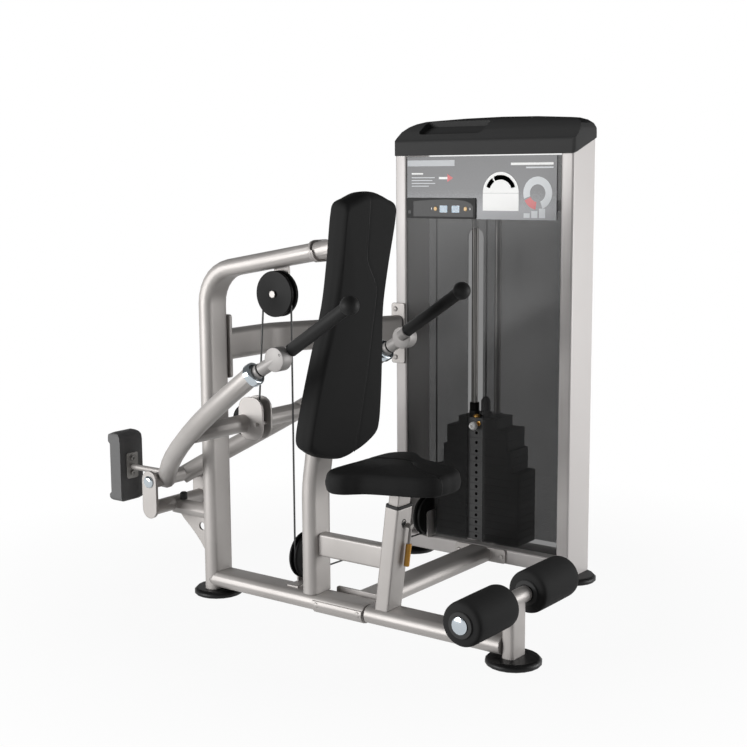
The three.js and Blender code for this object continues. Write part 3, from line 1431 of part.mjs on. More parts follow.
const stackBush = { radius: 19, height: 14 };
function addStack(group) {
  addPiece(group, 'stack_tier_lower', tierSolid(tiers.fourth, tierBottoms.fourth), 'plates');
  addPiece(group, 'stack_tier_middle', tierSolid(tiers.third, tierBottoms.third), 'plates');
  addPiece(group, 'stack_tier_upper', tierSolid(tiers.second, tierBottoms.second), 'plates');

  const low = headBottom;
  const shape = roundedRect(head.width, stack.depth, plate.corner * 2);
  const body = solidOf(upright(shape, low, low + head.height, arcs.rim).translate(stack.x, towerMiddle, 0));
  const neck = turned([
    [0, head.height - seam],
    [head.collar, head.height - seam],
    [head.collar, head.height + head.collarHeight],
    [head.neck, head.height + head.collarHeight],
    [head.neck, head.height + head.neckHeight],
    [head.neck / 2, head.height + head.neckHeight + head.collarHeight],
    [0, head.height + head.neckHeight + head.collarHeight],
  ], sides.coarse).translate(stack.x, towerMiddle, low);
  const bushes = rodPlaces().map((x) => rod(
    point(x, towerMiddle, low + head.height - seam),
    point(x, towerMiddle, low + head.height + stackBush.height),
    stackBush.radius,
    sides.coarse,
  ));
  const stemRod = rod(
    point(stack.x, towerMiddle, stack.bottom + seam),
    point(stack.x, towerMiddle, low + seam),
    stack.stem,
    sides.medium,
  );
  const rodHoles = rodPlaces().map((x) => drilled(
    point(x, towerMiddle, low - overrun),
    point(x, towerMiddle, low + head.height + stackBush.height + overrun),
    stack.rod + runningGap * 2,
    sides.coarse,
  ));
  const pinZ = low + head.pin;
  const drill = drilled(
    point(stack.x, stackFront - overrun, pinZ),
    point(stack.x, towerMiddle + stack.stem * 2, pinZ),
    pinSize.radius + runningGap,
    sides.hidden,
  );
  const whole = joined(body, solidOf(neck), ...bushes, stemRod);
  addPiece(group, 'head_plate', cut(whole, ...rodHoles, drill), 'plates');

  const pinRoot = towerMiddle + pinSize.depth;
  const shankStart = pinRoot - stackFront + runningGap;
  const knobStart = shankStart + pinSize.shank;
  const pinProfile = [
    [0, 0],
    [pinSize.radius, 0],
    [pinSize.radius, shankStart],
    [pinSize.shankRadius, shankStart],
    [pinSize.shankRadius, knobStart],
  ];
  const knobSteps = 6;
  const neckAngle = Math.asin(pinSize.shankRadius / pinSize.knob);
  for (let i = 0; i <= knobSteps; i += 1) {
    const angle = -Math.PI / 2 + neckAngle + ((Math.PI - neckAngle) * i) / knobSteps;
    pinProfile.push([
      pinSize.knob * Math.cos(angle),
      knobStart + pinSize.knob * (Math.sin(angle) + Math.cos(neckAngle)),
    ]);
  }
  pinProfile[pinProfile.length - 1][0] = 0;
  const pin = turned(pinProfile, sides.coarse, 'y').rotateX(Math.PI);
  addPiece(group, 'selector_pin', solidOf(pin), 'white', point(stack.x, pinRoot, pinZ));
}

// Upholstery: rings of one outline, drawn in at the edges and crowned over the face
const bulgeShare = 0.45;
const crownShares = [0.8, 0.55, 0.28];
function cushionSolid(edge, size) {
  const count = edge.length;
  const { thick, crown, round, draw } = size;
  const rings = [];
  const roundSteps = 3;
  for (let i = 0; i <= roundSteps; i += 1) {
    const angle = ((Math.PI / 2) * i) / roundSteps;
    rings.push({ inset: (round / 2) * (1 - Math.sin(angle)), height: (round / 2) * (1 - Math.cos(angle)) });
  }
  rings.push({ inset: -draw, height: thick * bulgeShare });
  for (let i = 0; i <= roundSteps; i += 1) {
    const angle = ((Math.PI / 2) * i) / roundSteps;
    rings.push({ inset: round * (1 - Math.cos(angle)), height: thick - round + round * Math.sin(angle) });
  }
  const positions = [];
  const centre = size.centre;
  const place = (index, inset, share) => {
    const [x, y] = edge[index];
    const dx = x - centre[0];
    const dy = y - centre[1];
    const reach = Math.hypot(dx, dy);
    const scale = (1 - inset / reach) * share;
    return [centre[0] + dx * scale, centre[1] + dy * scale];
  };
  for (const ring of rings) {
    for (let i = 0; i < count; i += 1) {
      positions.push(...place(i, ring.inset, 1), ring.height);
    }
  }
  for (const share of crownShares) {
    for (let i = 0; i < count; i += 1) {
      positions.push(...place(i, round, share), thick + crown * (1 - share ** 2));
    }
  }
  const levels = rings.length + crownShares.length;
  const topCentre = positions.length / 3;
  positions.push(centre[0], centre[1], thick + crown);
  const lowCentre = topCentre + 1;
  positions.push(centre[0], centre[1], 0);
  const faces = [];
  for (let level = 0; level < levels - 1; level += 1) {
    for (let i = 0; i < count; i += 1) {
      const next = (i + 1) % count;
      const a = level * count + i;
      const b = level * count + next;
      faces.push(a, b, b + count, a, b + count, a + count);
    }
  }
  for (let i = 0; i < count; i += 1) {
    const next = (i + 1) % count;
    const last = (levels - 1) * count;
    faces.push(last + i, last + next, topCentre, next, i, lowCentre);
  }
  const geometry = new THREE.BufferGeometry();
  geometry.setAttribute('position', new THREE.Float32BufferAttribute(positions, 3));
  geometry.setIndex(faces);
  return geometry;
}

// A closed smooth outline through hand-placed shares of a half width and a length
function smoothOutline(halfShares, length, half, divisions) {
  const right = halfShares.map(([along, aside]) => point(along * length, aside * half, 0));
  const left = halfShares.filter(([, aside]) => aside > 0).reverse()
    .map(([along, aside]) => point(along * length, -aside * half, 0));
  const curve = new THREE.CatmullRomCurve3([...right, ...left], true, 'centripetal');
  return curve.getSpacedPoints(divisions).slice(0, divisions).map((p) => [p.x, p.y]);
}

const seatShares = [
  [0, 0], [0, 0.42], [0.02, 0.76], [0.07, 0.9], [0.16, 1], [0.25, 0.98], [0.33, 0.87], [0.4, 0.77],
  [0.54, 0.67], [0.72, 0.57], [0.88, 0.46], [0.97, 0.32], [1, 0.14], [1, 0],
];
const padShares = [
  [0, 0], [0.012, 0.36], [0.035, 0.7], [0.07, 0.955], [0.1, 0.99], [0.2, 0.96], [0.4, 0.84], [0.6, 0.7],
  [0.75, 0.685], [0.93, 0.715], [0.962, 0.69], [0.978, 0.5], [0.995, 0.25], [1, 0],
];
function addSeatCushion(group) {
  const edge = smoothOutline(seatShares, seat.front - seat.rear, seat.half, seat.divisions);
  const { thick, crown, round, draw } = seat;
  const size = { thick, crown, round, draw, centre: [seat.middle, 0] };
  const solid = solidOf(cushionSolid(edge, size));
  addPiece(group, 'seat_cushion', solid, 'vinyl', point(seat.rear, 0, seat.top - seat.thick - seat.crown));
}

function addBackPad(group) {
  const edge = smoothOutline(padShares, pad.height, pad.half, pad.divisions);
  const size = {
    thick: pad.thick - pad.crown,
    crown: pad.crown,
    round: pad.round,
    draw: pad.draw,
    centre: [pad.height / 2, 0],
  };
  const form = cushionSolid(edge, size);
  const lay = new THREE.Matrix4().makeBasis(point(0, 0, 1), point(0, -1, 0), point(1, 0, 0));
  form.applyMatrix4(lay);
  const mesh = addPiece(group, 'back_pad', solidOf(form), 'vinyl', point(pad.x, 0, pad.z));
  mesh.rotation.y = radians(pad.lean);
}

// Plywood board between the pad and its post, on two cleats
const board = { thick: 12, low: 120, high: 690, half: 90, corner: 20 };
function addPadBoard(group) {
  const shape = roundedRect(board.half * 2, board.high - board.low, board.corner);
  const middle = (board.low + board.high) / 2;
  const face = acrossX(shape, -board.thick - seam, -seam, arcs.rim).translate(0, 0, middle);
  face.rotateY(radians(pad.lean)).translate(pad.x, 0, pad.z);
  const postCut = solidOf(swept(
    roundedRect(tube.wide + seam * 2, tube.thin + seam * 2, tube.corner + seam),
    backPostRoute(overrun),
    sideways,
  ));
  addPiece(group, 'back_pad_board', cut(solidOf(face), postCut), 'blackPlastic');
}

// Seat carriage: the stem that slides in the seat post and the plate under the cushion
const carriagePlate = { thick: 6, half: 75, rear: 73, front: 252, corner: 14 };
function addSeatCarriage(group) {
  const shape = roundedRect(stem.thick, stem.wide, stem.corner);
  const plateTop = seat.top - seat.thick - seat.crown - seam;
  const riseToPlate = (plateTop - carriagePlate.thick / 2 - seatPost.z) / Math.cos(seatLean);
  const post = solidOf(leaning(shape, seatPostLength - stem.depth, riseToPlate));
  const deckLength = carriagePlate.front - carriagePlate.rear;
  const shapePlate = roundedRect(deckLength, carriagePlate.half * 2, carriagePlate.corner);
  const x = seat.rear + (carriagePlate.front + carriagePlate.rear) / 2;
  const deck = solidOf(upright(shapePlate, plateTop - carriagePlate.thick, plateTop).translate(x, 0, 0));
  addPiece(group, 'seat_carriage', joined(post, deck), 'frame');
}

// Release lever: a bent rod in front of the post with an amber grip, hinged near the seat
const release = { y: 18, pivotZ: 352, gap: 14, gripTop: 293, gripBottom: 222, radius: 9, rod: 5, hub: 8 };
function addReleaseLever(group) {
  const face = seatPost.thick / 2 / Math.cos(seatLean) + seam;
  const faceX = (z) => seatPost.x + (z - seatPost.z) * Math.tan(seatLean) + face;
  const top = point(faceX(release.pivotZ) + release.gap, release.y, release.pivotZ);
  const low = point(faceX(release.gripTop) + release.gap, release.y, release.gripTop);
  const end = point(faceX(release.gripBottom) + release.gap, release.y, release.gripBottom);
  const shank = rod(top, low, release.rod, sides.coarse);
  const outward = point(Math.cos(seatLean), 0, -Math.sin(seatLean));
  const hubFoot = point(faceX(release.pivotZ), release.y, release.pivotZ);
  const hubHead = hubFoot.clone().addScaledVector(outward, release.gap + release.rod);
  const hub = rod(hubFoot, hubHead, release.hub, sides.coarse);
  const handle = rod(low, end, release.radius, sides.medium);
  addPiece(group, 'seat_release_lever', joined(shank, hub, handle), 'amber');
}

const frameGroup = new THREE.Group();
addFoot(frameGroup, 'foot_rear', 0, 0);
addFoot(frameGroup, 'foot_front', rollerPost.x, 0);
addFoot(frameGroup, 'foot_tower_left', tower.left + tower.post / 2, towerMiddle);
addFoot(frameGroup, 'foot_tower_right', tower.right - tower.post / 2, towerMiddle);
addRearPost(frameGroup);
addBackPost(frameGroup);
addMainBeams(frameGroup);
addCrossBeam(frameGroup);
addSeatPost(frameGroup);
addSeatPostBush(frameGroup);
addRollerPost(frameGroup);
addSideBrace(frameGroup);
addPivotBracket(frameGroup);
addPivotAxle(frameGroup);
addLeverStop(frameGroup);
machine.add(frameGroup);

const towerGroup = new THREE.Group();
addTowerPosts(towerGroup);
addTowerBase(towerGroup);
addTowerTop(towerGroup);
addGuideRods(towerGroup);
addCap(towerGroup);
addShrouds(towerGroup);
addPlacard(towerGroup);
addStack(towerGroup);
machine.add(towerGroup);

const leverGroup = new THREE.Group();
addLeverFrame(leverGroup);
addLeverPulley(leverGroup);
addCounterweight(leverGroup);
addHandle(leverGroup, -1, 'right');
addHandle(leverGroup, 1, 'left');
machine.add(leverGroup);

const seatGroup = new THREE.Group();
addSeatCushion(seatGroup);
addSeatCarriage(seatGroup);
addReleaseLever(seatGroup);
addBackPad(seatGroup);
addPadBoard(seatGroup);
addRollers(seatGroup);
machine.add(seatGroup);

const cableGroup = new THREE.Group();
addPulleys(cableGroup);
addCables(cableGroup);
machine.add(cableGroup);

// The origin is the middle of the footprint, on the floor
machine.updateMatrixWorld(true);
const extent = new THREE.Box3().setFromObject(machine, true);
const middleOfExtent = extent.getCenter(new THREE.Vector3());
for (const group of machine.children) {
  group.position.set(-middleOfExtent.x, -middleOfExtent.y, -extent.min.z);
}
machine.updateMatrixWorld(true);

export default machine;
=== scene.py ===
import math

import bmesh
import bpy
import numpy as np
from mathutils import Matrix, Vector


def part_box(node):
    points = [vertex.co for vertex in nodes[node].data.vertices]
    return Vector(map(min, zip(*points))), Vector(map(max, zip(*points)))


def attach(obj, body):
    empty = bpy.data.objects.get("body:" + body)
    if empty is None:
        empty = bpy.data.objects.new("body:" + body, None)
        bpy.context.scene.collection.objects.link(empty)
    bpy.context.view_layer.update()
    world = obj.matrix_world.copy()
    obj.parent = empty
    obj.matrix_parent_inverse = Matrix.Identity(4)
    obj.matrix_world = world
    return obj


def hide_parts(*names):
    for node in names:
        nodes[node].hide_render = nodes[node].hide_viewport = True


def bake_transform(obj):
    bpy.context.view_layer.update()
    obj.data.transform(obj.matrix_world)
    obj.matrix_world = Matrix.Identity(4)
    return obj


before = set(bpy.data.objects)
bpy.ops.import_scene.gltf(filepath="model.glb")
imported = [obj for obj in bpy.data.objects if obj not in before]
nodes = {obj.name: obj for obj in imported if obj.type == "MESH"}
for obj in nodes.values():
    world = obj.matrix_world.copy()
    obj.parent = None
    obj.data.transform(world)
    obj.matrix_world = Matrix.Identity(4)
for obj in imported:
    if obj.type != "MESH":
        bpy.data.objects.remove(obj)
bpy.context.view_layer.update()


# Camera: the photo's view, from in front of the machine's right side, 1.4 m above the floor.
# The machine's own drawing frame has X = 0 at the rear post and Y = 0 on its mid-plane.
def at(x, y, z):
    """A place in the drawing frame, in mm, as a place in the scene, in metres."""
    return Vector((x - 390.5, y - 275.424, z)) / 1000


camera_data = bpy.data.cameras.new("camera")
camera_data.lens = 64.48
camera_data.sensor_width = 36
camera_data.clip_end = 60
camera = bpy.data.objects.new("camera", camera_data)
bpy.context.scene.collection.objects.link(camera)
yaw, pitch_down, roll = 36.637, 8.443, -0.366
camera.matrix_world = (
    Matrix.Translation(at(3085.3, -3250.4, 1416.7))
    @ Matrix.Rotation(math.radians(yaw), 4, "Z")
    @ Matrix.Rotation(math.radians(90 - pitch_down), 4, "X")
    @ Matrix.Rotation(math.radians(roll), 4, "Z")
)
bpy.context.scene.camera = camera
bpy.context.scene.view_settings.view_transform = "Standard"


# Studio: a white room under a dark ceiling. The camera, reflections and see-through sheets see its
# walls, white up to 10 degrees above the horizon. Everything else gets a dim, even light.
def colour(text):
    """An sRGB hex value as a linear colour."""
    parts = [int(text[i : i + 2], 16) / 255 for i in (0, 2, 4)]
    return (*[c / 12.92 if c <= 0.04045 else ((c + 0.055) / 1.055) ** 2.4 for c in parts], 1)


def add_node(tree, kind, settings=None, links=None, stops=()):
    """Adds a node. A link comes from a socket, or from a node's first output. A ramp has stops."""
    node = tree.nodes.new("ShaderNode" + kind)
    for key, value in (settings or {}).items():
        if isinstance(key, int) or key in node.inputs:
            node.inputs[key].default_value = value
        else:
            setattr(node, key, value)
    for key, source in (links or {}).items():
        tree.links.new(source.outputs[0] if hasattr(source, "outputs") else source, node.inputs[key])
    for index, (position, shade) in enumerate(stops):
        ramp = node.color_ramp.elements
        stop = ramp[index] if index < len(ramp) else ramp.new(position)
        stop.position = position
        stop.color = colour(shade)
    return node


def seen_directly(tree):
    """1 for a ray from the camera, a reflection or a see-through sheet, and 0 for any other."""
    rays = add_node(tree, "LightPath")
    largest = {"operation": "MAXIMUM"}
    two_kinds = {0: rays.outputs["Is Camera Ray"], 1: rays.outputs["Is Glossy Ray"]}
    camera_or_glossy = add_node(tree, "Math", largest, two_kinds)
    all_kinds = {0: camera_or_glossy, 1: rays.outputs["Is Transmission Ray"]}
    return add_node(tree, "Math", largest, all_kinds)


room = bpy.data.worlds.new("white_room")
bpy.context.scene.world = room
room.use_nodes = True
sky = room.node_tree
sky.nodes.clear()
soft_light = add_node(sky, "Background", {"Color": colour("f2f3f5"), "Strength": 0.14})
direction = add_node(sky, "TexCoord")
upward = add_node(sky, "SeparateXYZ", links={0: direction.outputs["Generated"]})
wall_to_ceiling = add_node(
    sky,
    "MapRange",
    {"From Min": 0.17, "From Max": 0.38, "To Min": 1.0, "To Max": 0.2},
    {"Value": upward.outputs["Z"]},
)
white_wall = add_node(sky, "Background", {"Color": colour("ffffff")}, {"Strength": wall_to_ceiling})
room_mix = add_node(sky, "MixShader", links={0: seen_directly(sky), 1: soft_light, 2: white_wall})
add_node(sky, "OutputWorld", links={"Surface": room_mix})


# Lamps: two soft ones. A wide one stands low in front, left of the camera, and a tall one stands
# beside the machine, on the camera's right.
def soft_lamp(name, place, aim, width, height, watts):
    data = bpy.data.lights.new(name, "AREA")
    data.shape = "RECTANGLE"
    data.size = width
    data.size_y = height
    data.energy = watts
    lamp = bpy.data.objects.new(name, data)
    lamp.location = place
    lamp.rotation_euler = (aim - place).to_track_quat("-Z", "Y").to_euler()
    bpy.context.scene.collection.objects.link(lamp)


middle_of_machine = at(450, 300, 700)
soft_lamp("front_lamp", Vector((-2.4, -4.6, 1.25)), middle_of_machine, width=3.0, height=1.8, watts=240)
soft_lamp("right_lamp", Vector((3.3, 2.3, 1.0)), middle_of_machine, width=1.8, height=2.0, watts=105)


# Floor: matt white paper. It keeps the machine's faint contact shadow, and fades out to plain white
# two metres away, so that no horizon shows.
def new_tree(name):
    """A material, its empty tree and the object coordinates in it."""
    material = bpy.data.materials.new(name)
    material.use_nodes = True
    tree = material.node_tree
    tree.nodes.clear()
    return material, tree, add_node(tree, "TexCoord").outputs["Object"]


paper, tree, where = new_tree("white_backdrop_paper")
far_from_machine = add_node(tree, "VectorMath", {"operation": "DISTANCE", 1: (0.1, 0.1, 0)}, {0: where})
fade_out = add_node(
    tree,
    "MapRange",
    {"From Min": 0.9, "From Max": 1.9, "To Min": 0.94, "To Max": 1.0},
    {"Value": far_from_machine.outputs["Value"]},
)
bright = add_node(tree, "Math", {"operation": "MULTIPLY"}, {0: seen_directly(tree), 1: fade_out})
matt = add_node(tree, "BsdfDiffuse", {"Color": colour("b3b3b3")})
white = add_node(tree, "Emission", {"Color": colour("ffffff"), "Strength": 1.0})
paper_mix = add_node(tree, "MixShader", links={0: bright, 1: matt, 2: white})
add_node(tree, "OutputMaterial", links={"Surface": paper_mix})
floor_reach = 20
below_feet = 0.0005
floor_corners = [(floor_reach * x, floor_reach * y, 0) for x, y in ((-1, -1), (1, -1), (1, 1), (-1, 1))]
floor_mesh = bpy.data.meshes.new("floor")
floor_mesh.from_pydata(floor_corners, [], [(0, 1, 2, 3)])
floor_mesh.materials.append(paper)
floor = bpy.data.objects.new("floor", floor_mesh)
floor.location.z = -below_feet
bpy.context.scene.collection.objects.link(floor)


# Frame: bent and welded steel tube under a silver polyester powder coat. The solids' facets are
# shaded smooth where they stand for one round face, and their welds and ends stay crisp.
def smooth_shading(thing, limit=49):
    """Gives each corner the area-weighted normal of the flat faces within limit degrees of its own."""
    mesh = thing.data
    places = np.empty(len(mesh.vertices) * 3)
    mesh.vertices.foreach_get("co", places)
    places = places.reshape(-1, 3)
    _, welded = np.unique(np.round(places / 2e-5).astype(np.int64), axis=0, return_inverse=True)
    corners = np.empty(len(mesh.loops), np.int64)
    mesh.loops.foreach_get("vertex_index", corners)
    triangles = places[corners].reshape(-1, 3, 3)
    doubled = np.cross(triangles[:, 1] - triangles[:, 0], triangles[:, 2] - triangles[:, 0])
    areas = np.linalg.norm(doubled, axis=1)
    facing = doubled / np.maximum(areas, 1e-12)[:, None]
    offsets = np.einsum("ij,ij->i", facing, triangles[:, 0])
    planes = np.column_stack([np.round(facing * 400), np.round(offsets * 4000)]).astype(np.int64)
    _, plane = np.unique(planes, axis=0, return_inverse=True)
    face_area = np.bincount(plane.ravel(), weights=areas)[plane.ravel()]
    at_vertex = welded.ravel()[corners]
    order = np.argsort(at_vertex, kind="stable")
    starts = np.flatnonzero(np.diff(at_vertex[order], prepend=-1))
    normals = np.empty((len(corners), 3))
    closest = math.cos(math.radians(limit))
    for group in np.split(order, starts[1:]):
        faces = group // 3
        near = facing[faces] @ facing[faces].T > closest
        _, first = np.unique(plane.ravel()[faces], return_index=True)
        weights = np.zeros(len(faces))
        weights[first] = face_area[faces][first]
        normals[group] = (near * weights) @ facing[faces]
    lengths = np.linalg.norm(normals, axis=1)[:, None]
    normals = np.where(
        lengths > 1e-12, normals / np.maximum(lengths, 1e-12), np.repeat(facing, 3, axis=0)
    )
    mesh.polygons.foreach_set("use_smooth", np.ones(len(mesh.polygons), bool))
    mesh.normals_split_custom_set(normals.tolist())


def dress(material, *names):
    for name in names:
        for place in nodes[name].material_slots:
            place.material = material
        smooth_shading(nodes[name])


# Powder coat: the orange peel, about 2 mm from crest to crest, breaks up the reflections, and the
# metal flake under the clear binder gives a soft silver sheen. The edges of the tubes are eased by
# 4 mm, where the sheet was bent, so that they catch a line of light.
powder, tree, where = new_tree("silver_powder_coat")
peel = add_node(tree, "TexNoise", {"Scale": 480.0, "Detail": 2.0, "Roughness": 0.5}, {"Vector": where})
flake = add_node(tree, "TexVoronoi", {"Scale": 1400.0}, {"Vector": where})
patches = add_node(tree, "TexNoise", {"Scale": 6.0, "Detail": 3.0}, {"Vector": where})
silver_stops = ((0.3, "a8a4a1"), (0.75, "b3afac"))
tone = add_node(tree, "ValToRGB", links={0: patches}, stops=silver_stops)
glint = add_node(tree, "MapRange", {"To Min": 0.44, "To Max": 0.52}, {"Value": flake})
eased_edge = add_node(tree, "Bevel", {"samples": 6, "Radius": 0.004})
skin = add_node(
    tree,
    "Bump",
    {"Strength": 0.12, "Distance": 0.0004},
    {"Height": peel, "Normal": eased_edge},
)
coat = add_node(
    tree,
    "BsdfPrincipled",
    {"Metallic": 0.4, "IOR": 1.5, "Specular IOR Level": 0.35},
    {"Base Color": tone, "Roughness": glint, "Normal": skin},
)
add_node(tree, "OutputMaterial", links={"Surface": coat})
dress(
    powder,
    "rear_post",
    "back_post",
    "main_beam_rear",
    "main_beam_front",
    "cross_base_beam",
    "seat_post",
    "roller_post",
    "side_brace",
    "pivot_bracket",
    "lever_frame",
    "seat_carriage",
)

# Weight tower: square posts and bars in a paler shade of the same powder coat, which reads almost
# white where the lamps reach it.
pale, tree, where = new_tree("pale_powder_coat")
peel = add_node(tree, "TexNoise", {"Scale": 480.0, "Detail": 2.0, "Roughness": 0.5}, {"Vector": where})
patches = add_node(tree, "TexNoise", {"Scale": 4.0, "Detail": 2.0}, {"Vector": where})
tone = add_node(tree, "ValToRGB", links={0: patches}, stops=((0, "bebab8"), (1, "c6c2c0")))
skin = add_node(tree, "Bump", {"Strength": 0.1, "Distance": 0.0004}, {"Height": peel})
coat = add_node(
    tree,
    "BsdfPrincipled",
    {"Metallic": 0.1, "Roughness": 0.4, "IOR": 1.5, "Specular IOR Level": 0.3},
    {"Base Color": tone, "Normal": skin},
)
add_node(tree, "OutputMaterial", links={"Surface": coat})
dress(pale, "tower_post_left", "tower_post_right", "tower_base_bar", "tower_top_bar")


# Bright parts: steel turned and polished, then chrome plated. They mirror the white room with
# only the faint swirl that a polishing mop leaves.
def grained(name, scale, detail, settings, gloss=None, relief=None, shades=None):
    """A material whose fine noise varies its gloss, its relief or its shade, where those are given."""
    material, tree, where = new_tree(name)
    grain = add_node(tree, "TexNoise", {"Scale": scale, "Detail": detail}, {"Vector": where})
    links = {}
    if gloss:
        smoothest, roughest = gloss
        links["Roughness"] = add_node(
            tree, "MapRange", {"To Min": smoothest, "To Max": roughest}, {"Value": grain}
        )
    if relief:
        strength, depth = relief
        links["Normal"] = add_node(
            tree, "Bump", {"Strength": strength, "Distance": depth}, {"Height": grain}
        )
    # Given together with relief, the first, darker shade falls where the relief sinks: painted shade in its
    # pits.
    if shades:
        links["Base Color"] = add_node(tree, "ValToRGB", links={0: grain}, stops=tuple(enumerate(shades)))
    shader = add_node(tree, "BsdfPrincipled", settings, links)
    add_node(tree, "OutputMaterial", links={"Surface": shader})
    return material


chrome = grained(
    "chrome_plated_steel", 900, 3, {"Base Color": colour("bcc4ca"), "Metallic": 1.0}, gloss=(0.08, 0.2)
)
dress(chrome, "pivot_axle", "roller_axle")

# Guide rods: cold-drawn steel, ground round and oiled, greyer than chrome, with fine marks round
# them from the grinding wheel.
ground, tree, where = new_tree("ground_steel_rod")
wheel_marks = add_node(
    tree,
    "TexWave",
    {"wave_type": "BANDS", "bands_direction": "Z", "Scale": 160.0, "Distortion": 2.0},
    {"Vector": where},
)
oiled = add_node(tree, "MapRange", {"To Min": 0.28, "To Max": 0.4}, {"Value": wheel_marks.outputs["Fac"]})
steel = add_node(
    tree,
    "BsdfPrincipled",
    {"Base Color": colour("7b7977"), "Metallic": 0.85},
    {"Roughness": oiled},
)
add_node(tree, "OutputMaterial", links={"Surface": steel})
dress(ground, "guide_rod_left", "guide_rod_right")

# Feet and lever stop: round pads pressed from black rubber, screwed under the posts and on the
# pivot bracket. The fine pits that the mould leaves are painted a shade darker than the rubber
# between them, as painted shade where they sink.
rubber = grained(
    "pressed_black_rubber",
    620,
    4,
    {"Roughness": 0.45, "IOR": 1.5, "Specular IOR Level": 0.25},
    relief=(0.25, 0.0005),
    # The darker shade lands where the relief sinks: painted shade in the pits.
    shades=("0e0e0e", "151515"),
)
dress(rubber, "foot_rear", "foot_front", "foot_tower_left", "foot_tower_right", "lever_stop")

# Handle knuckles: sand-cast aluminium, tumbled and lacquered. The sand leaves a fine granular skin
# that spreads the light.
cast = grained(
    "tumbled_cast_aluminium",
    700,
    4,
    {"Base Color": colour("a09d9b"), "Metallic": 0.15, "Specular IOR Level": 0.3},
    gloss=(0.42, 0.55),
    relief=(0.2, 0.0005),
)


# Each knuckle is a shaft with a turned groove and a rubber seal ring in it, a round boss across its
# end, and a short neck that carries the hand grip. A small black rubber disc with a raised rim sits
# in the set screw's hole in the boss's flat side; its black is painted shade for the hole's dark inside.
def closed_mesh(name, points, faces, crisp=35):
    """A mesh with its faces turned outwards, smooth but for edges sharper than crisp degrees."""
    mesh = bpy.data.meshes.new(name)
    mesh.from_pydata(points, [], faces)
    shell = bmesh.new()
    shell.from_mesh(mesh)
    bmesh.ops.remove_doubles(shell, verts=shell.verts, dist=1e-6)
    bmesh.ops.recalc_face_normals(shell, faces=shell.faces)
    shell.to_mesh(mesh)
    shell.free()
    mesh.polygons.foreach_set("use_smooth", np.ones(len(mesh.polygons), bool))
    mesh.set_sharp_from_angle(angle=math.radians(crisp))
    return mesh


def turned_mesh(name, profile, steps):
    """A profile of (radius, height) points in mm, turned round the Z axis."""
    ring = [(math.cos(2 * math.pi * i / steps), math.sin(2 * math.pi * i / steps)) for i in range(steps)]
    points, faces, previous = [], [], None
    for radius, height in profile:
        if radius < 1e-6:
            current = [len(points)] * steps
            points.append((0, 0, height / 1000))
        else:
            current = list(range(len(points), len(points) + steps))
            points += [(radius * c / 1000, radius * s / 1000, height / 1000) for c, s in ring]
        if previous:
            for i in range(steps):
                j = (i + 1) % steps
                face = list(dict.fromkeys([previous[i], previous[j], current[j], current[i]]))
                if len(face) > 2:
                    faces.append(face)
        previous = current
    return closed_mesh(name, points, faces)


def place_piece(name, mesh, material, body, origin=None, run=None):
    """Puts a piece on its body, at origin and with its Z axis along run."""
    piece = bpy.data.objects.new(name, mesh)
    mesh.materials.append(material)
    bpy.context.scene.collection.objects.link(piece)
    if run is not None:
        piece.rotation_euler = Vector(run).to_track_quat("Z", "Y").to_euler()
    if origin is not None:
        piece.location = origin
    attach(piece, body)
    return piece


def turned_piece(name, profile, steps, material, body, origin, run):
    return place_piece(name, turned_mesh(name, profile, steps), material, body, origin, run)


both_sides = (("right", -1), ("left", 1))
arm_end = {side: at(460, hand * 327, 830) for side, hand in both_sides}
boss_centre = {side: at(560, hand * 319, 888) for side, hand in both_sides}
neck_end = {side: at(586, hand * 292.4, 912.2) for side, hand in both_sides}
boss_profile = [(0, 20.5), (33.4, 20.5), (35.2, 19.8), (36, 18)]
boss_profile += [(36, -18.4), (35.2, -20.2), (33.4, -21), (0, -21)]
groove_foot, groove_low, groove_high = 16.9, 39.6, 43.8
seal_profile = [
    (groove_foot, groove_low), (20.4, groove_low), (21.4, 40.8), (21.4, 42.6), (20.4, groove_high),
    (groove_foot, groove_high), (groove_foot, groove_low),
]
screw_hole_shade_profile = [(0, -0.8), (2, -0.8), (2.4, 0.4), (3.8, 0.4), (3.8, -2), (0, -2)]
for side, hand in both_sides:
    knuckle, body, outwards = f"handle_knuckle_{side}", f"handle_{side}", (0, hand, 0)
    shaft_run = boss_centre[side] - arm_end[side]
    reach = shaft_run.length * 1000
    shaft_profile = [(0, 2), (20.8, 2), (20.8, 38), (20, 39), (17.2, 39.4), (17.2, 43.8), (18.4, 44.2)]
    shaft_profile += [(20.2, 45), (20.4, 62), (20.2, 74), (20.2, reach), (0, reach)]
    neck_root = at(560, hand * 298.4, 894)
    neck_run = neck_end[side] - neck_root
    neck_long = neck_run.length * 1000
    neck_profile = [(0, 0), (18.2, 0), (18.2, neck_long - 1.4), (17, neck_long - 0.2), (0, neck_long - 0.2)]
    screw_place = at(582, hand * 339.6, 903.6)
    shaft = turned_piece(
        f"{knuckle}_shaft", shaft_profile, 56, cast, body, arm_end[side], shaft_run
    )
    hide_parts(knuckle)
    turned_piece(
        f"{knuckle}_boss", boss_profile, 64, cast, body, boss_centre[side], outwards
    )
    turned_piece(f"{knuckle}_neck", neck_profile, 48, cast, body, neck_root, neck_run)
    # The set screw's hole is drawn as a black rubber disc: painted shade for its dark inside.
    turned_piece(
        f"{body}_set_screw_hole_shade", screw_hole_shade_profile, 24, rubber, body, screw_place, outwards
    )
    turned_piece(
        f"{body}_seal_ring", seal_profile, 56, rubber, body, arm_end[side], shaft_run
    )

# Black mouldings: the tower's cap, the counter's housing, the seat post's bush and the pad's board,
# moulded in ABS. The mould's spark-eroded texture keeps the gloss low and even.
abs_black = grained(
    "textured_black_abs",
    1100,
    3,
    {"Base Color": colour("4c4c4c"), "IOR": 1.5, "Specular IOR Level": 0.0},
    gloss=(0.5, 0.62),
    relief=(0.22, 0.0003),
)
dress(abs_black, "tower_cap", "counter_housing", "seat_post_bush", "back_pad_board")

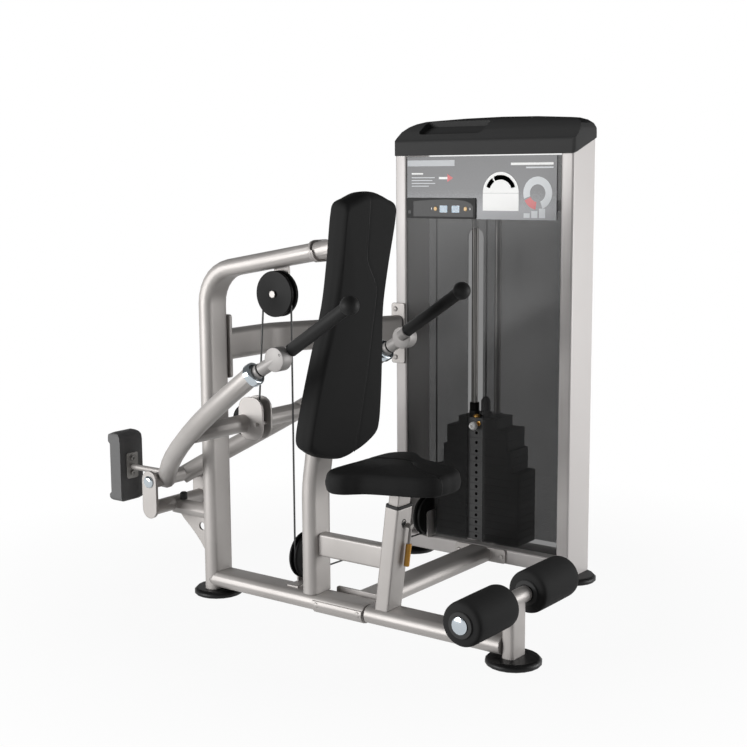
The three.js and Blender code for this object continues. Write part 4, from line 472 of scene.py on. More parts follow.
# Arm collars: steel rings, turned and chrome plated, and pressed on the ends of the arms. The
# handles turn in them.
collar_profile = [(21.5, 0.3), (34.6, 0.3), (36, 2), (36, 17), (35.2, 20.4), (32, 23.4), (30.6, 24)]
collar_profile += [(24, 24), (23, 23.2), (22.6, 21), (21.5, 20.4), (21.5, 0.3)]
for side in arm_end:
    name, arm_run = f"arm_collar_{side}", boss_centre[side] - arm_end[side]
    ring = turned_piece(
        name + "_ring", collar_profile, 64, chrome, "lever", arm_end[side], arm_run
    )
    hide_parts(name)

# Pulleys: wheels moulded in glass-filled nylon, with a raised hub and a groove for the cable. One
# has dished faces. The short fibres show as a faint mottle, whose darker shade follows the pits of
# the relief: painted shade there. Each wheel takes its solid's place.
nylon = grained(
    "glass_filled_nylon",
    420,
    5,
    {"Roughness": 0.5, "IOR": 1.53, "Specular IOR Level": 0.1},
    relief=(0.12, 0.0003),
    # The darker shade lands where the relief sinks: painted shade in the pits.
    shades=("121212", "181818"),
)
across, forwards = (0, -1, 0), (1, 0, 0)
top_pulley, top_line = (286, 0, 1042), 57.5
lever_pulley, lever_line = (148, 0, 616), 48
crown_right, crown_line = (508, 829.1, 1396), 50
crown_left = (393.5, 829.1, 1396)
pulley_sizes = {
    "top_pulley": (top_pulley, across, top_line, 74, 38, 8.5, False),
    "rear_lower_pulley": ((343.5, 62, 176), forwards, 62, 77, 30, 8.5, True),
    "tower_lower_pulley": ((343.5, 765.1, 162), forwards, 64, 72, 30, 8.5, False),
    "tower_top_pulley_left": (crown_left, across, crown_line, 56.5, 26, 8.5, False),
    "tower_top_pulley_right": (crown_right, across, crown_line, 56.5, 26, 8.5, False),
    "lever_pulley": (lever_pulley, across, lever_line, 54, 30, 8.3, False),
}
for name, (centre, axle, line, rim, width, bore, dished) in pulley_sizes.items():
    body = "lever" if name == "lever_pulley" else name
    half, floor_of_groove, hub = width / 2, line - 3.9, bore * 2
    flank = [(bore, half), (hub, half), (hub + 2, half - 0.8)]
    if dished:
        flank += [(rim * 0.45, half - 5.5), (rim * 0.8, half - 5.5), (rim * 0.86, half - 0.4)]
    flank += [(rim - 3, half - (0 if dished else 0.8)), (rim - 1, half - 1.2), (rim, half - 3)]
    flank += [(rim, 7.4), (rim - 1.2, 6.2), (floor_of_groove + 2, 4.2), (floor_of_groove, 2)]
    profile = flank + [(radius, -height) for radius, height in reversed(flank)] + flank[:1]
    piece = turned_piece(name + "_wheel", profile, 72, nylon, body, at(*centre), axle)
    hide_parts(name)

# Cable: steel rope in a black nylon jacket, which is extruded over it. The die leaves it smooth,
# with a faint drag that varies the gloss.
jacket = grained(
    "extruded_nylon_jacket", 260, 2, {"Base Color": colour("2a2a2a"), "IOR": 1.53}, gloss=(0.3, 0.5)
)
dress(jacket, "cable_run")


# Moving strands: the cable's runs from the top pulley to the lever pulley and from the crown to the
# stack's head change length. Each is drawn as a straight piece with only its two end rings, one at
# the pulley and one at the moving end, and is put on no body.
def cable_mesh(name, stations, radius=0.0032, sides=12):
    """The cable through stations that lie in a plane of constant Y."""
    points, faces = [], []
    sideways = Vector((0, 1, 0))
    for i, station in enumerate(stations):
        along = (stations[min(i + 1, len(stations) - 1)] - stations[max(i - 1, 0)]).normalized()
        for j in range(sides):
            turn = 2 * math.pi * j / sides
            out = math.cos(turn) * along.cross(sideways) + math.sin(turn) * sideways
            points.append(station + radius * out)
    for i in range(len(stations) - 1):
        for j in range(sides):
            k = (j + 1) % sides
            faces.append([i * sides + j, i * sides + k, (i + 1) * sides + k, (i + 1) * sides + j])
    last = (len(stations) - 1) * sides
    faces += [list(range(sides)), [last + j for j in reversed(range(sides))]]
    mesh = closed_mesh(name, points, faces)
    mesh.materials.append(jacket)
    return mesh


def on_groove(centre, line, turn):
    x, y, z = centre
    return at(x + line * math.cos(turn), y, z + line * math.sin(turn))


# The lever's strand leaves the top pulley's rear side and meets the lever pulley's front side. Each
# strand starts a little below the fixed run's end, so that the two never touch.
gap_in_cable = 0.0007
apart = Vector(lever_pulley) - Vector(top_pulley)
leaves_top = math.atan2(apart.z, apart.x) - math.acos((top_line + lever_line) / apart.length)
meets_lever = leaves_top + math.pi
lever_strand = [
    on_groove(top_pulley, top_line, leaves_top),
    on_groove(lever_pulley, lever_line, meets_lever),
]
lever_strand[0] += gap_in_cable * (lever_strand[1] - lever_strand[0]).normalized()
stack_strand = [on_groove(crown_right, crown_line, 0), on_groove(crown_right, crown_line, 0)]
stack_strand[0].z -= gap_in_cable
stack_strand[1].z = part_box("cable_stack_strand")[0][2]
for node, (upper_end, lower_end), body in (
    ("cable_lever_strand", lever_strand, "lever"),
    ("cable_stack_strand", stack_strand, "stack_head"),
):
    strand = bpy.data.objects.new(node + "_taut", cable_mesh(node + "_taut", [upper_end, lower_end]))
    bpy.context.scene.collection.objects.link(strand)
    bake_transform(strand)
    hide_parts(node)
lap_turns = [meets_lever - math.pi * i / 24 for i in range(25)]
lap_stations = [on_groove(lever_pulley, lever_line, turn) for turn in lap_turns]
lap = cable_mesh("lever_pulley_cable_lap", lap_stations)
lap_piece = bpy.data.objects.new("lever_pulley_cable_lap", lap)
bpy.context.scene.collection.objects.link(lap_piece)
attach(lap_piece, "lever")

# Counterweight: a grey-iron casting on the lever's tail, dipped in black enamel. The enamel pools in
# the casting's pits and softens them.
enamel = grained(
    "black_enamelled_iron",
    240,
    5,
    {"Base Color": colour("6e6e6e"), "Roughness": 0.5, "IOR": 1.5, "Specular IOR Level": 0.08},
    relief=(0.3, 0.0006),
)
dress(enamel, "counterweight")

# Counterweight's mounting plate: pressed steel, zinc plated, with rounded corners. Two socket screws
# hold it and the casting on the lever's rod.
zinc, tree, where = new_tree("zinc_plated_steel")
spangle = add_node(tree, "TexVoronoi", {"Scale": 120.0}, {"Vector": where})
dulled = add_node(tree, "MapRange", {"To Min": 0.34, "To Max": 0.5}, {"Value": spangle})
plated = add_node(
    tree,
    "BsdfPrincipled",
    {"Base Color": colour("8f8d8a"), "Metallic": 0.75},
    {"Roughness": dulled},
)
add_node(tree, "OutputMaterial", links={"Surface": plated})
plate_face, plate_back = -410.4, -414.8
plate_half, plate_low, plate_high, plate_corner = 27, 347, 440, 8
socket_profile = [(0, 3.2), (3.4, 3.2), (3.6, 6.4), (4.2, 6.8), (8, 6.8), (9, 5.8), (9, 0), (0, 0)]
for level in (367, 420):
    place = at(plate_face - 0.4, 0, level)
    turned_piece(
        f"counterweight_screw_{level}", socket_profile, 32, zinc, "lever", place, forwards
    )


def prism_mesh(name, front, back):
    """A flat piece with crisp edges between two like outlines."""
    count = len(front)
    faces = [list(range(count)), list(reversed(range(count, 2 * count)))]
    for i in range(count):
        j = (i + 1) % count
        faces.append([j, i, count + i, count + j])
    return closed_mesh(name, front + back, faces, crisp=1)


plate_rim = []
for side_y, side_z, start in ((1, 1, 0), (-1, 1, 90), (-1, -1, 180), (1, -1, 270)):
    corner_y = side_y * (plate_half - plate_corner)
    corner_z = plate_high - plate_corner if side_z > 0 else plate_low + plate_corner
    for turn in [math.radians(start + 15 * step) for step in range(7)]:
        plate_rim.append(
            (corner_y + plate_corner * math.cos(turn), corner_z + plate_corner * math.sin(turn))
        )
plate = prism_mesh(
    "counterweight_plate",
    [at(plate_face, y, z) for y, z in plate_rim],
    [at(plate_back, y, z) for y, z in plate_rim],
)
place_piece("counterweight_plate", plate, zinc, "lever")

# Seat post's locking hole: a black rubber disc sits nearly flush in the post's front face where the
# hole is. Its raised rim stands for the rubber lining pressed into the hole, and its flat black middle
# is painted shade for the dark inside of the hole. The release pin comes out through the hole.
hole_shade_disc_profile = [(0, -0.4), (8.6, -0.4), (9, 0.7), (10.6, 0.9), (11.2, 0.3), (11.2, -0.6), (0, -0.6)]
hole_place, out_of_post = at(781.2, -1.5, 364), (0.9917, 0, -0.1285)
# A flat black disc fills the hole: painted shade for its dark inside.
turned_piece("seat_post_hole_shade_disc", hole_shade_disc_profile, 40, rubber, "frame", hole_place, out_of_post)

# Weight stack: plates of milled steel under a thin black paint. The cutter's lines, drawn 3 mm
# apart so that they show, catch a little light along the edges.
plates, tree, where = new_tree("black_painted_milled_steel")
cutter = add_node(
    tree,
    "TexWave",
    {"wave_type": "BANDS", "bands_direction": "Z", "Scale": 105.0, "Distortion": 1.5, "Detail": 2.0},
    {"Vector": where},
)
cloud = add_node(tree, "TexNoise", {"Scale": 30.0, "Detail": 4.0}, {"Vector": where})
plate_tone = add_node(tree, "ValToRGB", links={0: cloud}, stops=((0, "383838"), (1, "444444")))
lines = add_node(tree, "Bump", {"Strength": 0.08, "Distance": 0.0003}, {"Height": cutter.outputs["Fac"]})
painted = add_node(
    tree,
    "BsdfPrincipled",
    {"Roughness": 0.5, "IOR": 1.5, "Specular IOR Level": 0.3},
    {"Base Color": plate_tone, "Normal": lines},
)
add_node(tree, "OutputMaterial", links={"Surface": painted})
dress(plates, "stack_tier_lower", "stack_tier_middle", "stack_tier_upper", "head_plate")

# Stack head's fittings: a black nylon sleeve round the left guide rod, a brass cap screwed down on
# the head's top and a brass bush in its front face.
brass = grained(
    "turned_brass", 500, 2, {"Base Color": colour("b98d4a"), "Metallic": 0.9}, gloss=(0.22, 0.36)
)
sleeve_profile = [(12.8, 0), (17.4, 0), (17.4, 28), (16, 30), (13.4, 30), (12.8, 29.4), (12.8, 0)]
cap_profile = [(0, -1), (13, -1), (13, 4), (11.6, 5.6), (7, 5.8), (6, 8.4), (0, 8.8), (0, -1)]
bush_profile = [(0, -2), (8, -2), (8, 2.6), (7, 3.2), (4.4, 3.2), (4, 0.8), (0, 0.8)]
fittings = (
    ("sleeve", sleeve_profile, nylon, "pulley_nylon", (510, 829.1, 565.2), (0, 0, 1)),
    ("cap", cap_profile, brass, "chrome", (545, 788, 552), (0, 0, 1)),
    ("bush", bush_profile, brass, "chrome", (568.5, 766.4, 531.5), (0, -1, 0)),
)
for part, profile, material, slot, place, run in fittings:
    turned_piece("stack_head_" + part, profile, 40, material, "stack_head", at(*place), run)

# Shrouds: sheets of smoked polycarbonate, saw-cut and polished at the edge. Each of a sheet's two
# faces takes half of the light, so one sheet dims what stands behind it to a quarter.
smoked = grained(
    "smoked_polycarbonate",
    3,
    1,
    {"Base Color": colour("1e1e1e"), "Alpha": 0.515, "IOR": 1.58, "Specular IOR Level": 0.15},
    gloss=(0.24, 0.32),
)
dress(smoked, "front_shroud", "rear_shroud")

# Placard: a rigid sheet with a screen-printed face under satin laminate. Its ground runs from
# charcoal at the top to mid grey below, with a fine halftone speckle.
print_face, tree, where = new_tree("screen_printed_placard")
axes = add_node(tree, "SeparateXYZ", links={0: where})
fade = add_node(tree, "MapRange", {"From Min": 1.465, "From Max": 1.262}, {"Value": axes.outputs["Z"]})
speckle = add_node(tree, "TexNoise", {"Scale": 300.0, "Detail": 2.0}, {"Vector": where})
shaken = add_node(tree, "Math", {"operation": "MULTIPLY_ADD", 1: 0.35}, {0: speckle, 2: fade})
print_stops = ((0.1, "3b3b3e"), (1, "85868a"), (0.7, "4c4d50"))
charcoal_to_grey = add_node(tree, "ValToRGB", links={0: shaken}, stops=print_stops)
laminate = add_node(
    tree, "BsdfPrincipled", {"Roughness": 0.38, "IOR": 1.5}, {"Base Color": charcoal_to_grey}
)
add_node(tree, "OutputMaterial", links={"Surface": laminate})
dress(print_face, "placard")


# Placard's printed motifs: generic bands, dials and bars in white, pale grey and red ink. Each is
# screen printed, a film of ink a fifth of a millimetre thick.
def ink_film(name, outline, depth, material, back):
    front_places = [at(x, back - depth, z) for x, z in outline]
    back_places = [at(x, back, z) for x, z in outline]
    return place_piece(name, prism_mesh(name, front_places, back_places), material, "frame")


def ink(name, shade, roughness=0.35):
    """An ink whose gloss varies with the marks of the printing mesh."""
    pigment = {"Base Color": colour(shade), "IOR": 1.5}
    return grained(name, 500, 2, pigment, gloss=(roughness - 0.05, roughness + 0.08))


def arc_band(x, z, inner, outer, start, end, steps=28):
    """The outline of a ring's arc, from start to end degrees."""
    turns = [math.radians(start + (end - start) * i / steps) for i in range(steps + 1)]
    out = [(x + outer * math.cos(t), z + outer * math.sin(t)) for t in turns]
    back = [(x + inner * math.cos(t), z + inner * math.sin(t)) for t in reversed(turns)]
    return out + back


def bar(left, right, low, high):
    return [(left, low), (right, low), (right, high), (left, high)]


placard_front = 752.9
white_ink = ink("white_screen_ink", "f0f0ee")
pale_ink = ink("pale_grey_screen_ink", "c3c7ca")
red_ink = ink("red_screen_ink", "c4141b")
silver_ink = ink("silver_screen_ink", "8e9297", 0.28)
charcoal_ink = ink("charcoal_screen_ink", "3a3a3d")
for name, outline, material in (
    ("band_silver", bar(268, 470, 1446, 1467), silver_ink),
    ("band_white", bar(700, 866, 1447, 1455), white_ink),
    ("band_short", bar(760, 866, 1436, 1441), pale_ink),
    ("dial_ground", arc_band(660, 1352, 0.5, 72, 0, 180), white_ink),
    ("dial_base", bar(588, 732, 1291, 1351), white_ink),
    ("dial_scale", arc_band(660, 1352, 46, 62, 20, 118), charcoal_ink),
    ("dial_mark", arc_band(660, 1352, 46, 62, 124, 160), red_ink),
    ("side_dial_ring", arc_band(806, 1352, 30, 56, -70, 200), pale_ink),
    ("side_dial_mark", arc_band(806, 1352, 30, 56, 206, 262), red_ink),
    ("step_low", bar(752, 776, 1268, 1284), pale_ink),
    ("step_middle", bar(782, 806, 1268, 1292), pale_ink),
    ("step_high", bar(812, 836, 1268, 1300), pale_ink),
    ("arrow_head", [(440, 1390), (464, 1404), (440, 1418)], red_ink),
    ("arrow_shaft", bar(404, 440, 1400, 1408), white_ink),
    ("line_heading", bar(286, 336, 1417, 1422), white_ink),
    ("line_one", bar(286, 386, 1404, 1407), pale_ink),
    ("line_two", bar(286, 376, 1394, 1397), pale_ink),
    ("line_three", bar(286, 388, 1384, 1387), pale_ink),
    ("line_four", bar(286, 360, 1374, 1377), pale_ink),
):
    ink_film("print_" + name, outline, 0.2, material, placard_front)

# Counter: a moulded housing with a gloss-black bezel on its front, a token slot, two blue display
# windows with dark segments, and two amber push buttons. The token slot is a flat black film on the
# front: painted shade for the slot's dark opening.
lens = grained("blue_display_lens", 400, 2, {"Roughness": 0.12, "IOR": 1.49}, shades=("1b5c7c", "2a7aa1"))
segment_ink = ink("dark_display_segment", "123a52", 0.2)
bezel_black_and_slot_shade = ink("bezel_black_and_slot_shade_ink", "121212", 0.5)
housing_front, bezel_deep, window_deep, digit_deep = 748, 0.25, 0.35, 0.15
bezel_front = housing_front - bezel_deep
window_back = housing_front - 0.3
bezel_left, bezel_right, bezel_low = 297, 551, 1268
bezel = [
    (bezel_left, bezel_low), (bezel_right, bezel_low), (bezel_right, 1303), (542, 1315), (520, 1323),
    (480, 1328), (430, 1329), (360, 1326), (bezel_left, 1322),
]
ink_film("counter_bezel", bezel, bezel_deep, bezel_black_and_slot_shade, housing_front)
# The token slot is drawn flat, in the bezel's black: painted shade for its dark opening.
token_slot_shade = bar(273, 286, 1277, 1289)
ink_film("counter_token_slot_shade", token_slot_shade, bezel_deep, bezel_black_and_slot_shade, housing_front)
digit_low, digit_high, stroke, digit_wide = 1286, 1304, 1.4, 6.6
for index, left in enumerate((411, 462)):
    window_outline = bar(left, left + 32, 1283, 1307)
    ink_film(f"display_{index}", window_outline, window_deep, lens, window_back)
    for digit in range(3):
        inner = left + 3.5 + digit * 9.3
        outer = inner + digit_wide
        strokes = (
            bar(inner, inner + stroke, digit_low, digit_high),
            bar(outer - stroke, outer, digit_low, digit_high),
            bar(inner + stroke, outer - stroke, digit_high - stroke, digit_high),
            bar(inner + stroke, outer - stroke, digit_low, digit_low + stroke),
        )
        for part, outline in enumerate(strokes):
            name = f"digit_{index}_{digit}_{part}"
            ink_film(
                name, outline, digit_deep, segment_ink, window_back - window_deep
            )
for side, foot, tip in (("left", 374, 378), ("right", 537, 541)):
    ink_film(
        f"counter_mark_{side}", [(foot, 1291), (tip, 1296), (foot, 1301)], 0.2, white_ink, bezel_front
    )

# Counter's buttons: amber plastic, injection moulded. The colour clouds a little along the plastic's
# flow.
amber = grained(
    "amber_moulded_plastic", 60, 2, {"Roughness": 0.34, "IOR": 1.5}, shades=("c58f22", "d8a93c")
)
dress(amber, "counter_button_left", "counter_button_right")

# Seat release lever: a bent steel strip, powder coated like the frame, with an amber grip
# moulded over its lower half.
strip, tree, where = new_tree("amber_grip_on_steel_strip")
height = add_node(tree, "SeparateXYZ", links={0: where})
above_grip = add_node(tree, "Math", {"operation": "GREATER_THAN", 1: 0.2935}, {0: height.outputs["Z"]})
pitted = add_node(tree, "TexNoise", {"Scale": 320.0, "Detail": 2.0}, {"Vector": where})
two_tone = add_node(
    tree,
    "Mix",
    {"data_type": "RGBA", 6: colour("c98f24"), 7: colour("a29e9b")},
    {0: above_grip},
)
two_gloss = add_node(tree, "MapRange", {"To Min": 0.32, "To Max": 0.42}, {"Value": pitted})
lever_skin = add_node(
    tree,
    "BsdfPrincipled",
    {"IOR": 1.5},
    {"Base Color": two_tone.outputs[2], "Roughness": two_gloss},
)
add_node(tree, "OutputMaterial", links={"Surface": lever_skin})
dress(strip, "seat_release_lever")

# Selector pin: a steel pin in a white moulded knob. The plastic's flow varies the knob's gloss, and
# the pin's dimpled end shows in the middle of it.
white_plastic = grained(
    "white_moulded_plastic", 90, 2, {"Base Color": colour("f4f4f2"), "IOR": 1.5}, gloss=(0.25, 0.4)
)
dress(white_plastic, "selector_pin")
dimple_profile = [(0, 0.5), (2.4, 0.5), (2.8, 0.2), (4.2, 0.4), (4.8, -0.2), (4.8, -2.4), (0, -2.4)]
knob_end = at(558, 729.6, 524.9)
turned_piece("selector_knob_dimple", dimple_profile, 32, zinc, "selector", knob_end, across)

# Upholstery: moulded foam on a board, covered in black vinyl whose leather grain repeats every
# 1.4 mm. The cover is drawn tight, with sewn seams pulled into the foam.
vinyl, tree, where = new_tree("grained_black_vinyl")
pebbles = add_node(tree, "TexVoronoi", {"feature": "F1", "Scale": 700.0}, {"Vector": where})
folds = add_node(tree, "TexNoise", {"Scale": 90.0, "Detail": 4.0}, {"Vector": where})
hide = add_node(tree, "Math", {"operation": "MULTIPLY_ADD", 1: 0.6}, {0: folds, 2: pebbles})
leather = add_node(tree, "Bump", {"Strength": 0.3, "Distance": 0.0005}, {"Height": hide})
rubbed = add_node(tree, "MapRange", {"To Min": 0.46, "To Max": 0.6}, {"Value": folds})
cover = add_node(
    tree,
    "BsdfPrincipled",
    {"Base Color": colour("2e2e2e"), "IOR": 1.5, "Specular IOR Level": 0.015},
    {"Roughness": rubbed, "Normal": leather},
)
add_node(tree, "OutputMaterial", links={"Surface": cover})


def smooth_loop(shares, length, half, count):
    """A centripetal curve through shares of a length and a half width, mirrored and evenly spaced."""
    right = [Vector((a * length, b * half)) for a, b in shares]
    left = [Vector((a * length, -b * half)) for a, b in reversed(shares) if b > 0]
    corners = right + left
    dense = []
    for i in range(len(corners)):
        p = [corners[(i + k - 1) % len(corners)] for k in range(4)]
        t = [0.0]
        for a, b in zip(p, p[1:]):
            t.append(t[-1] + max((b - a).length, 1e-4) ** 0.5)
        for step in range(16):
            u = t[1] + (t[2] - t[1]) * step / 16
            a = [p[k].lerp(p[k + 1], (u - t[k]) / (t[k + 1] - t[k])) for k in range(3)]
            b = [a[k].lerp(a[k + 1], (u - t[k]) / (t[k + 2] - t[k])) for k in range(2)]
            dense.append(b[0].lerp(b[1], (u - t[1]) / (t[2] - t[1])))
    run = np.array([[v.x, v.y] for v in dense + dense[:1]])
    along = np.concatenate([[0], np.cumsum(np.linalg.norm(np.diff(run, axis=0), axis=1))])
    wanted = np.linspace(0, along[-1], count, endpoint=False)
    return np.column_stack([np.interp(wanted, along, run[:, 0]), np.interp(wanted, along, run[:, 1])])


def cushion_rings(edge, centre, thick, crown, round_top, draw):
    """Rings of one outline: a rolled bottom edge, a bulging side, a rolled top edge and a dome."""
    steps = []
    for i in range(5):
        turn = math.pi / 2 * i / 4
        steps.append((round_top / 2 * (1 - math.sin(turn)), round_top / 2 * (1 - math.cos(turn)), 1))
    for i in range(1, 8):
        share = i / 8
        height = round_top / 2 + (thick - round_top * 1.5) * share
        steps.append((-draw * math.sin(math.pi * share), height, 1))
    for i in range(8):
        turn = math.pi / 2 * i / 7
        steps.append(
            (round_top * (1 - math.cos(turn)), thick - round_top + round_top * math.sin(turn), 1)
        )
    for share in np.linspace(0.97, 0.03, 36):
        steps.append((round_top, thick + crown * (1 - share**2), share))
    rings = []
    out = edge - centre
    reach = np.linalg.norm(out, axis=1)
    for inset, height, share in steps:
        scale = (1 - inset / reach) * share
        rings.append(np.column_stack([centre + out * scale[:, None], np.full(len(edge), height)]))
    return rings


def sew(rings, seams, first_top_ring, depth, width):
    """Presses a groove under every seam, in the top of the cushion and down over its rolled edge."""
    for ring in rings[first_top_ring:]:
        for seam in seams:
            a, b = seam[:-1], seam[1:]
            run = b - a
            rel = ring[:, None, :2] - a[None]
            share = np.clip(np.einsum("nsk,sk->ns", rel, run) / np.einsum("sk,sk->s", run, run), 0, 1)
            gap = np.linalg.norm(rel - share[..., None] * run[None], axis=2).min(axis=1)
            ring[:, 2] -= depth * np.exp(-((gap / width) ** 2))


def cushion_mesh(name, rings, centre, top):
    """One skin over all the rings, closed by a point at the top and one on the flat base."""
    mesh = bpy.data.meshes.new(name)
    count = len(rings[0])
    points = np.concatenate(rings).tolist() + [[*centre, top], [*centre, 0]]
    faces = []
    for level in range(len(rings) - 1):
        for i in range(count):
            j = (i + 1) % count
            a = level * count
            faces.append((a + i, a + j, a + count + j, a + count + i))
    last = (len(rings) - 1) * count
    faces += [(last + i, last + (i + 1) % count, len(points) - 2) for i in range(count)]
    faces += [((i + 1) % count, i, len(points) - 1) for i in range(count)]
    mesh.from_pydata((np.array(points) / 1000).tolist(), [], faces)
    mesh.polygons.foreach_set("use_smooth", np.ones(len(mesh.polygons), bool))
    return mesh


def thread_line(name, points, body, radius=0.9):
    """The thread laid in a seam."""
    data = bpy.data.curves.new(name, "CURVE")
    data.dimensions = "3D"
    data.bevel_depth = radius / 1000
    data.bevel_resolution = 2
    spline = data.splines.new("POLY")
    spline.points.add(len(points) - 1)
    for target, place in zip(spline.points, points):
        target.co = (*place, 1)
    thread = bpy.data.objects.new(name, data)
    data.materials.append(waxed)
    bpy.context.scene.collection.objects.link(thread)
    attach(thread, body)


def lay_on(seam, rings, turn, sunk=0.2):
    """Points every few millimetres along a seam, dropped on the nearest points of the cushion."""
    cloud = np.concatenate(rings[16:])
    spots = []
    for a, b in zip(seam[:-1], seam[1:]):
        steps = max(2, int(np.linalg.norm(b - a) / 5))
        for step in range(steps):
            place = a + (b - a) * step / steps
            gap = np.linalg.norm(cloud[:, :2] - place, axis=1)
            near = np.argsort(gap)[:4]
            weight = 1 / (gap[near] + 0.5)
            height = float((cloud[near, 2] * weight).sum() / weight.sum()) - sunk
            spots.append(turn @ (Vector((*place, height)) / 1000))
    return spots


def eased(points):
    """A smooth seam through given points."""
    line = np.array(points, float)
    for _ in range(3):
        cut = [line[0]]
        for a, b in zip(line[:-1], line[1:]):
            cut += [a * 0.75 + b * 0.25, a * 0.25 + b * 0.75]
        line = np.array(cut + [line[-1]])
    return line


# Thread: twisted polyester, waxed, and sewn through the cover along its seams. The twist shows as
# fine slanted bands.
waxed, tree, where = new_tree("waxed_polyester_thread")
twist = add_node(
    tree,
    "TexWave",
    {"wave_type": "BANDS", "bands_direction": "DIAGONAL", "Scale": 300.0},
    {"Vector": where},
)
plies = add_node(tree, "Bump", {"Strength": 0.4, "Distance": 0.0004}, {"Height": twist.outputs["Fac"]})
yarn = add_node(
    tree,
    "BsdfPrincipled",
    {"Base Color": colour("2e2e2e"), "Roughness": 0.5, "IOR": 1.5, "Specular IOR Level": 0.3},
    {"Normal": plies},
)
add_node(tree, "OutputMaterial", links={"Surface": yarn})

# Seat: a waisted cushion on the sliding carriage, wide at the hips and narrow between the knees. One
# seam wanders forward over its top, crosses the middle and runs down over the nose.
seat_shares = [
    (0, 0), (0, 0.42), (0.02, 0.76), (0.07, 0.9), (0.16, 1), (0.25, 0.98), (0.33, 0.87), (0.4, 0.77),
    (0.54, 0.67), (0.72, 0.57), (0.88, 0.46), (0.97, 0.32), (1, 0.14), (1, 0),
]
seat_thick, seat_crown = 62, 7
seat_edge = smooth_loop(seat_shares, length=350, half=206, count=220)
seat_centre = np.array([158.0, 0.0])
seat_rings = cushion_rings(seat_edge, seat_centre, seat_thick, seat_crown, round_top=20, draw=3)
seat_seam = eased(
    [(14, 46), (50, 51), (110, 58), (160, 64), (184, 44), (214, 4), (240, -16), (297, -41), (342, -46)]
)
first_sewn, groove_deep, groove_wide = 14, 2.6, 5
sew(seat_rings, [seat_seam], first_sewn, groove_deep, groove_wide)
seat_turn = Matrix.Translation(at(602, 0, 476))
seat_mesh = cushion_mesh("seat_cushion_cover", seat_rings, seat_centre, seat_thick + seat_crown)
seat_cover = place_piece("seat_cushion_cover", seat_mesh, vinyl, "seat")
seat_cover.matrix_world = seat_turn
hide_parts("seat_cushion")
seam_top = lay_on(seat_seam, seat_rings, seat_turn)
nose = int(np.argmin(np.linalg.norm(seat_edge - seat_seam[-1], axis=1)))
seam_front = [seat_turn @ (Vector(ring[nose]) / 1000) for ring in reversed(seat_rings[1:19])]
thread_line("seat_seam", seam_top + seam_front, "seat")

# Back pad: a tall tapered pad that leans back with its post. Its one seam runs up its left side,
# turns in below the shoulders and ends near the middle of the top.
pad_shares = [
    (0, 0), (0.012, 0.36), (0.035, 0.7), (0.07, 0.955), (0.1, 0.99), (0.2, 0.96), (0.4, 0.84), (0.6, 0.7),
    (0.75, 0.685), (0.93, 0.715), (0.962, 0.69), (0.978, 0.5), (0.995, 0.25), (1, 0),
]
pad_thick, pad_crown = 65, 7
pad_edge = smooth_loop(pad_shares, length=838, half=178, count=300)
pad_centre = np.array([419.0, 0.0])
pad_rings = cushion_rings(pad_edge, pad_centre, pad_thick, pad_crown, round_top=22, draw=3)
pad_seam = eased(
    [(14, -61), (150, -62), (400, -65), (528, -67), (556, -58), (632, 4), (660, 10), (828, 17)]
)
sew(pad_rings, [pad_seam], first_sewn, groove_deep, groove_wide)
lean = math.radians(8.9)
pad_axes = Matrix(((0, 0, 1, 0), (0, -1, 0, 0), (1, 0, 0, 0), (0, 0, 0, 1)))
pad_turn = Matrix.Translation(at(485, 0, 541)) @ Matrix.Rotation(lean, 4, "Y") @ pad_axes
pad_mesh = cushion_mesh("back_pad_cover", pad_rings, pad_centre, pad_thick + pad_crown)
pad_cover = place_piece("back_pad_cover", pad_mesh, vinyl, "frame")
pad_cover.matrix_world = pad_turn
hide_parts("back_pad")
thread_line("pad_seam", lay_on(pad_seam, pad_rings, pad_turn), "frame")

# Leg rollers: tubes of closed-cell foam skinned with black vinyl, closed by plastic discs. They
# spin on the chromed axle.
foam, tree, where = new_tree("skinned_black_foam")
cells = add_node(tree, "TexNoise", {"Scale": 520.0, "Detail": 4.0}, {"Vector": where})
creases = add_node(tree, "TexNoise", {"Scale": 24.0, "Detail": 2.0}, {"Vector": where})
surface = add_node(tree, "Math", {"operation": "MULTIPLY_ADD", 1: 0.5}, {0: creases, 2: cells})
foam_bump = add_node(tree, "Bump", {"Strength": 0.3, "Distance": 0.0007}, {"Height": surface})
foam_skin = add_node(
    tree,
    "BsdfPrincipled",
    {"Base Color": colour("353535"), "Roughness": 0.62, "IOR": 1.5, "Specular IOR Level": 0.015},
    {"Normal": foam_bump},
)
add_node(tree, "OutputMaterial", links={"Surface": foam_skin})
roller_profile = [
    (10.6, 69), (38, 69), (39.5, 69.8), (40, 71.5), (41, 72), (52, 72.2), (57, 73.4), (61, 76.2),
    (63.6, 80), (65, 86), (65.2, 110), (65.4, 178), (65.2, 248), (65, 268), (63.6, 276), (61, 280.6),
    (57, 283.6), (52, 285), (41, 285.4), (40, 285.8), (39.5, 287.3), (38, 288), (10.6, 288), (10.6, 69),
]
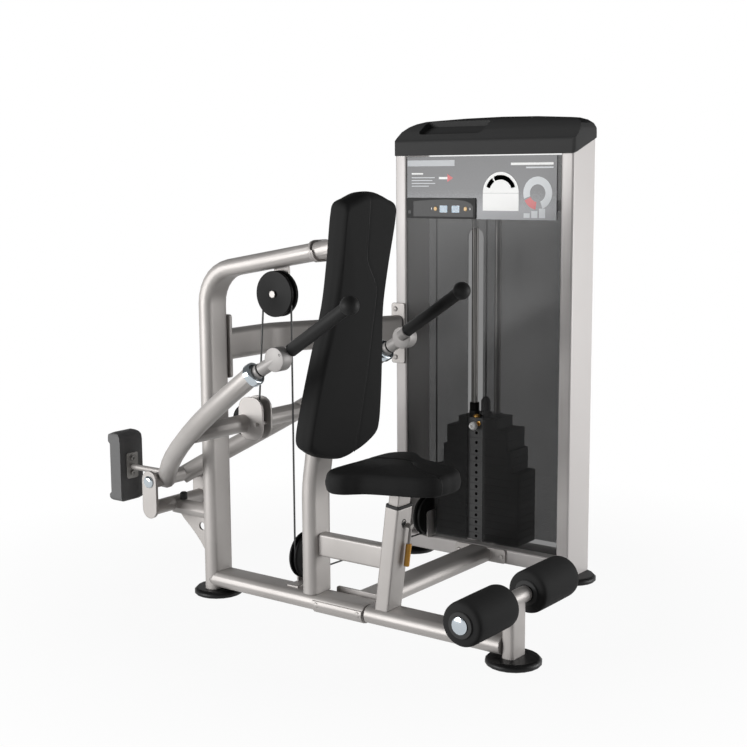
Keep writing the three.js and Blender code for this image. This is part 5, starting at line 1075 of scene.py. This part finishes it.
disc_profile = [(26, 288.1), (37, 288.1), (38, 288.8), (37.4, 290), (30, 290.6), (26, 290.2), (26, 288.1)]
both_ends = 69 + 288
inner_disc_profile = [(radius, both_ends - height) for radius, height in disc_profile]
roller_centre = at(1172, 0, 195)
for side, hand in both_sides:
    body, outwards = f"roller_{side}", (0, hand, 0)
    roller = turned_piece(
        body + "_foam", roller_profile, 72, foam, body, roller_centre, outwards
    )
    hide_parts(f"roller_pad_{side}")
    for end, profile in (("outer", disc_profile), ("inner", inner_disc_profile)):
        turned_piece(
            f"{body}_{end}_disc", profile, 64, abs_black, body, roller_centre, outwards
        )

# Hand grips: pimpled rubber sleeves moulded over the bars, with a collar at the root. The ball that
# closes each stops the hand from sliding off.
grip_rubber, tree, where = new_tree("moulded_grip_rubber")
pimples = add_node(tree, "TexVoronoi", {"Scale": 420.0}, {"Vector": where})
pimple_bump = add_node(tree, "Bump", {"Strength": 0.35, "Distance": 0.0005}, {"Height": pimples})
sleeve = add_node(
    tree,
    "BsdfPrincipled",
    {"Base Color": colour("222222"), "Roughness": 0.55, "IOR": 1.5, "Specular IOR Level": 0.15},
    {"Normal": pimple_bump},
)
add_node(tree, "OutputMaterial", links={"Surface": sleeve})
grip_bore, grip_radius, ball_radius, ball_start = 12.4, 20, 28.5, -0.78
for side, hand in both_sides:
    root = neck_end[side]
    grip_run = at(801, hand * 289.5, 1054) - root
    length = grip_run.length * 1000
    profile = [(grip_bore, 0.3), (19, 0.3), (grip_radius, 1.4), (grip_radius, 8), (19.6, 8.8), (19.6, 9.6)]
    profile += [(grip_radius, 10.4), (grip_radius, length - 24), (20.3, length - 22.5)]
    for i in range(12):
        turn = ball_start + (math.pi / 2 - ball_start) * i / 12
        profile.append((ball_radius * math.cos(turn), length + ball_radius * math.sin(turn)))
    profile += [(0, length + ball_radius), (0, length + 0.3), (grip_bore, length + 0.3), (grip_bore, 0.3)]
    grip = turned_piece(
        f"grip_{side}_sleeve", profile, 48, grip_rubber, f"handle_{side}", root, grip_run
    )
    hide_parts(f"grip_{side}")
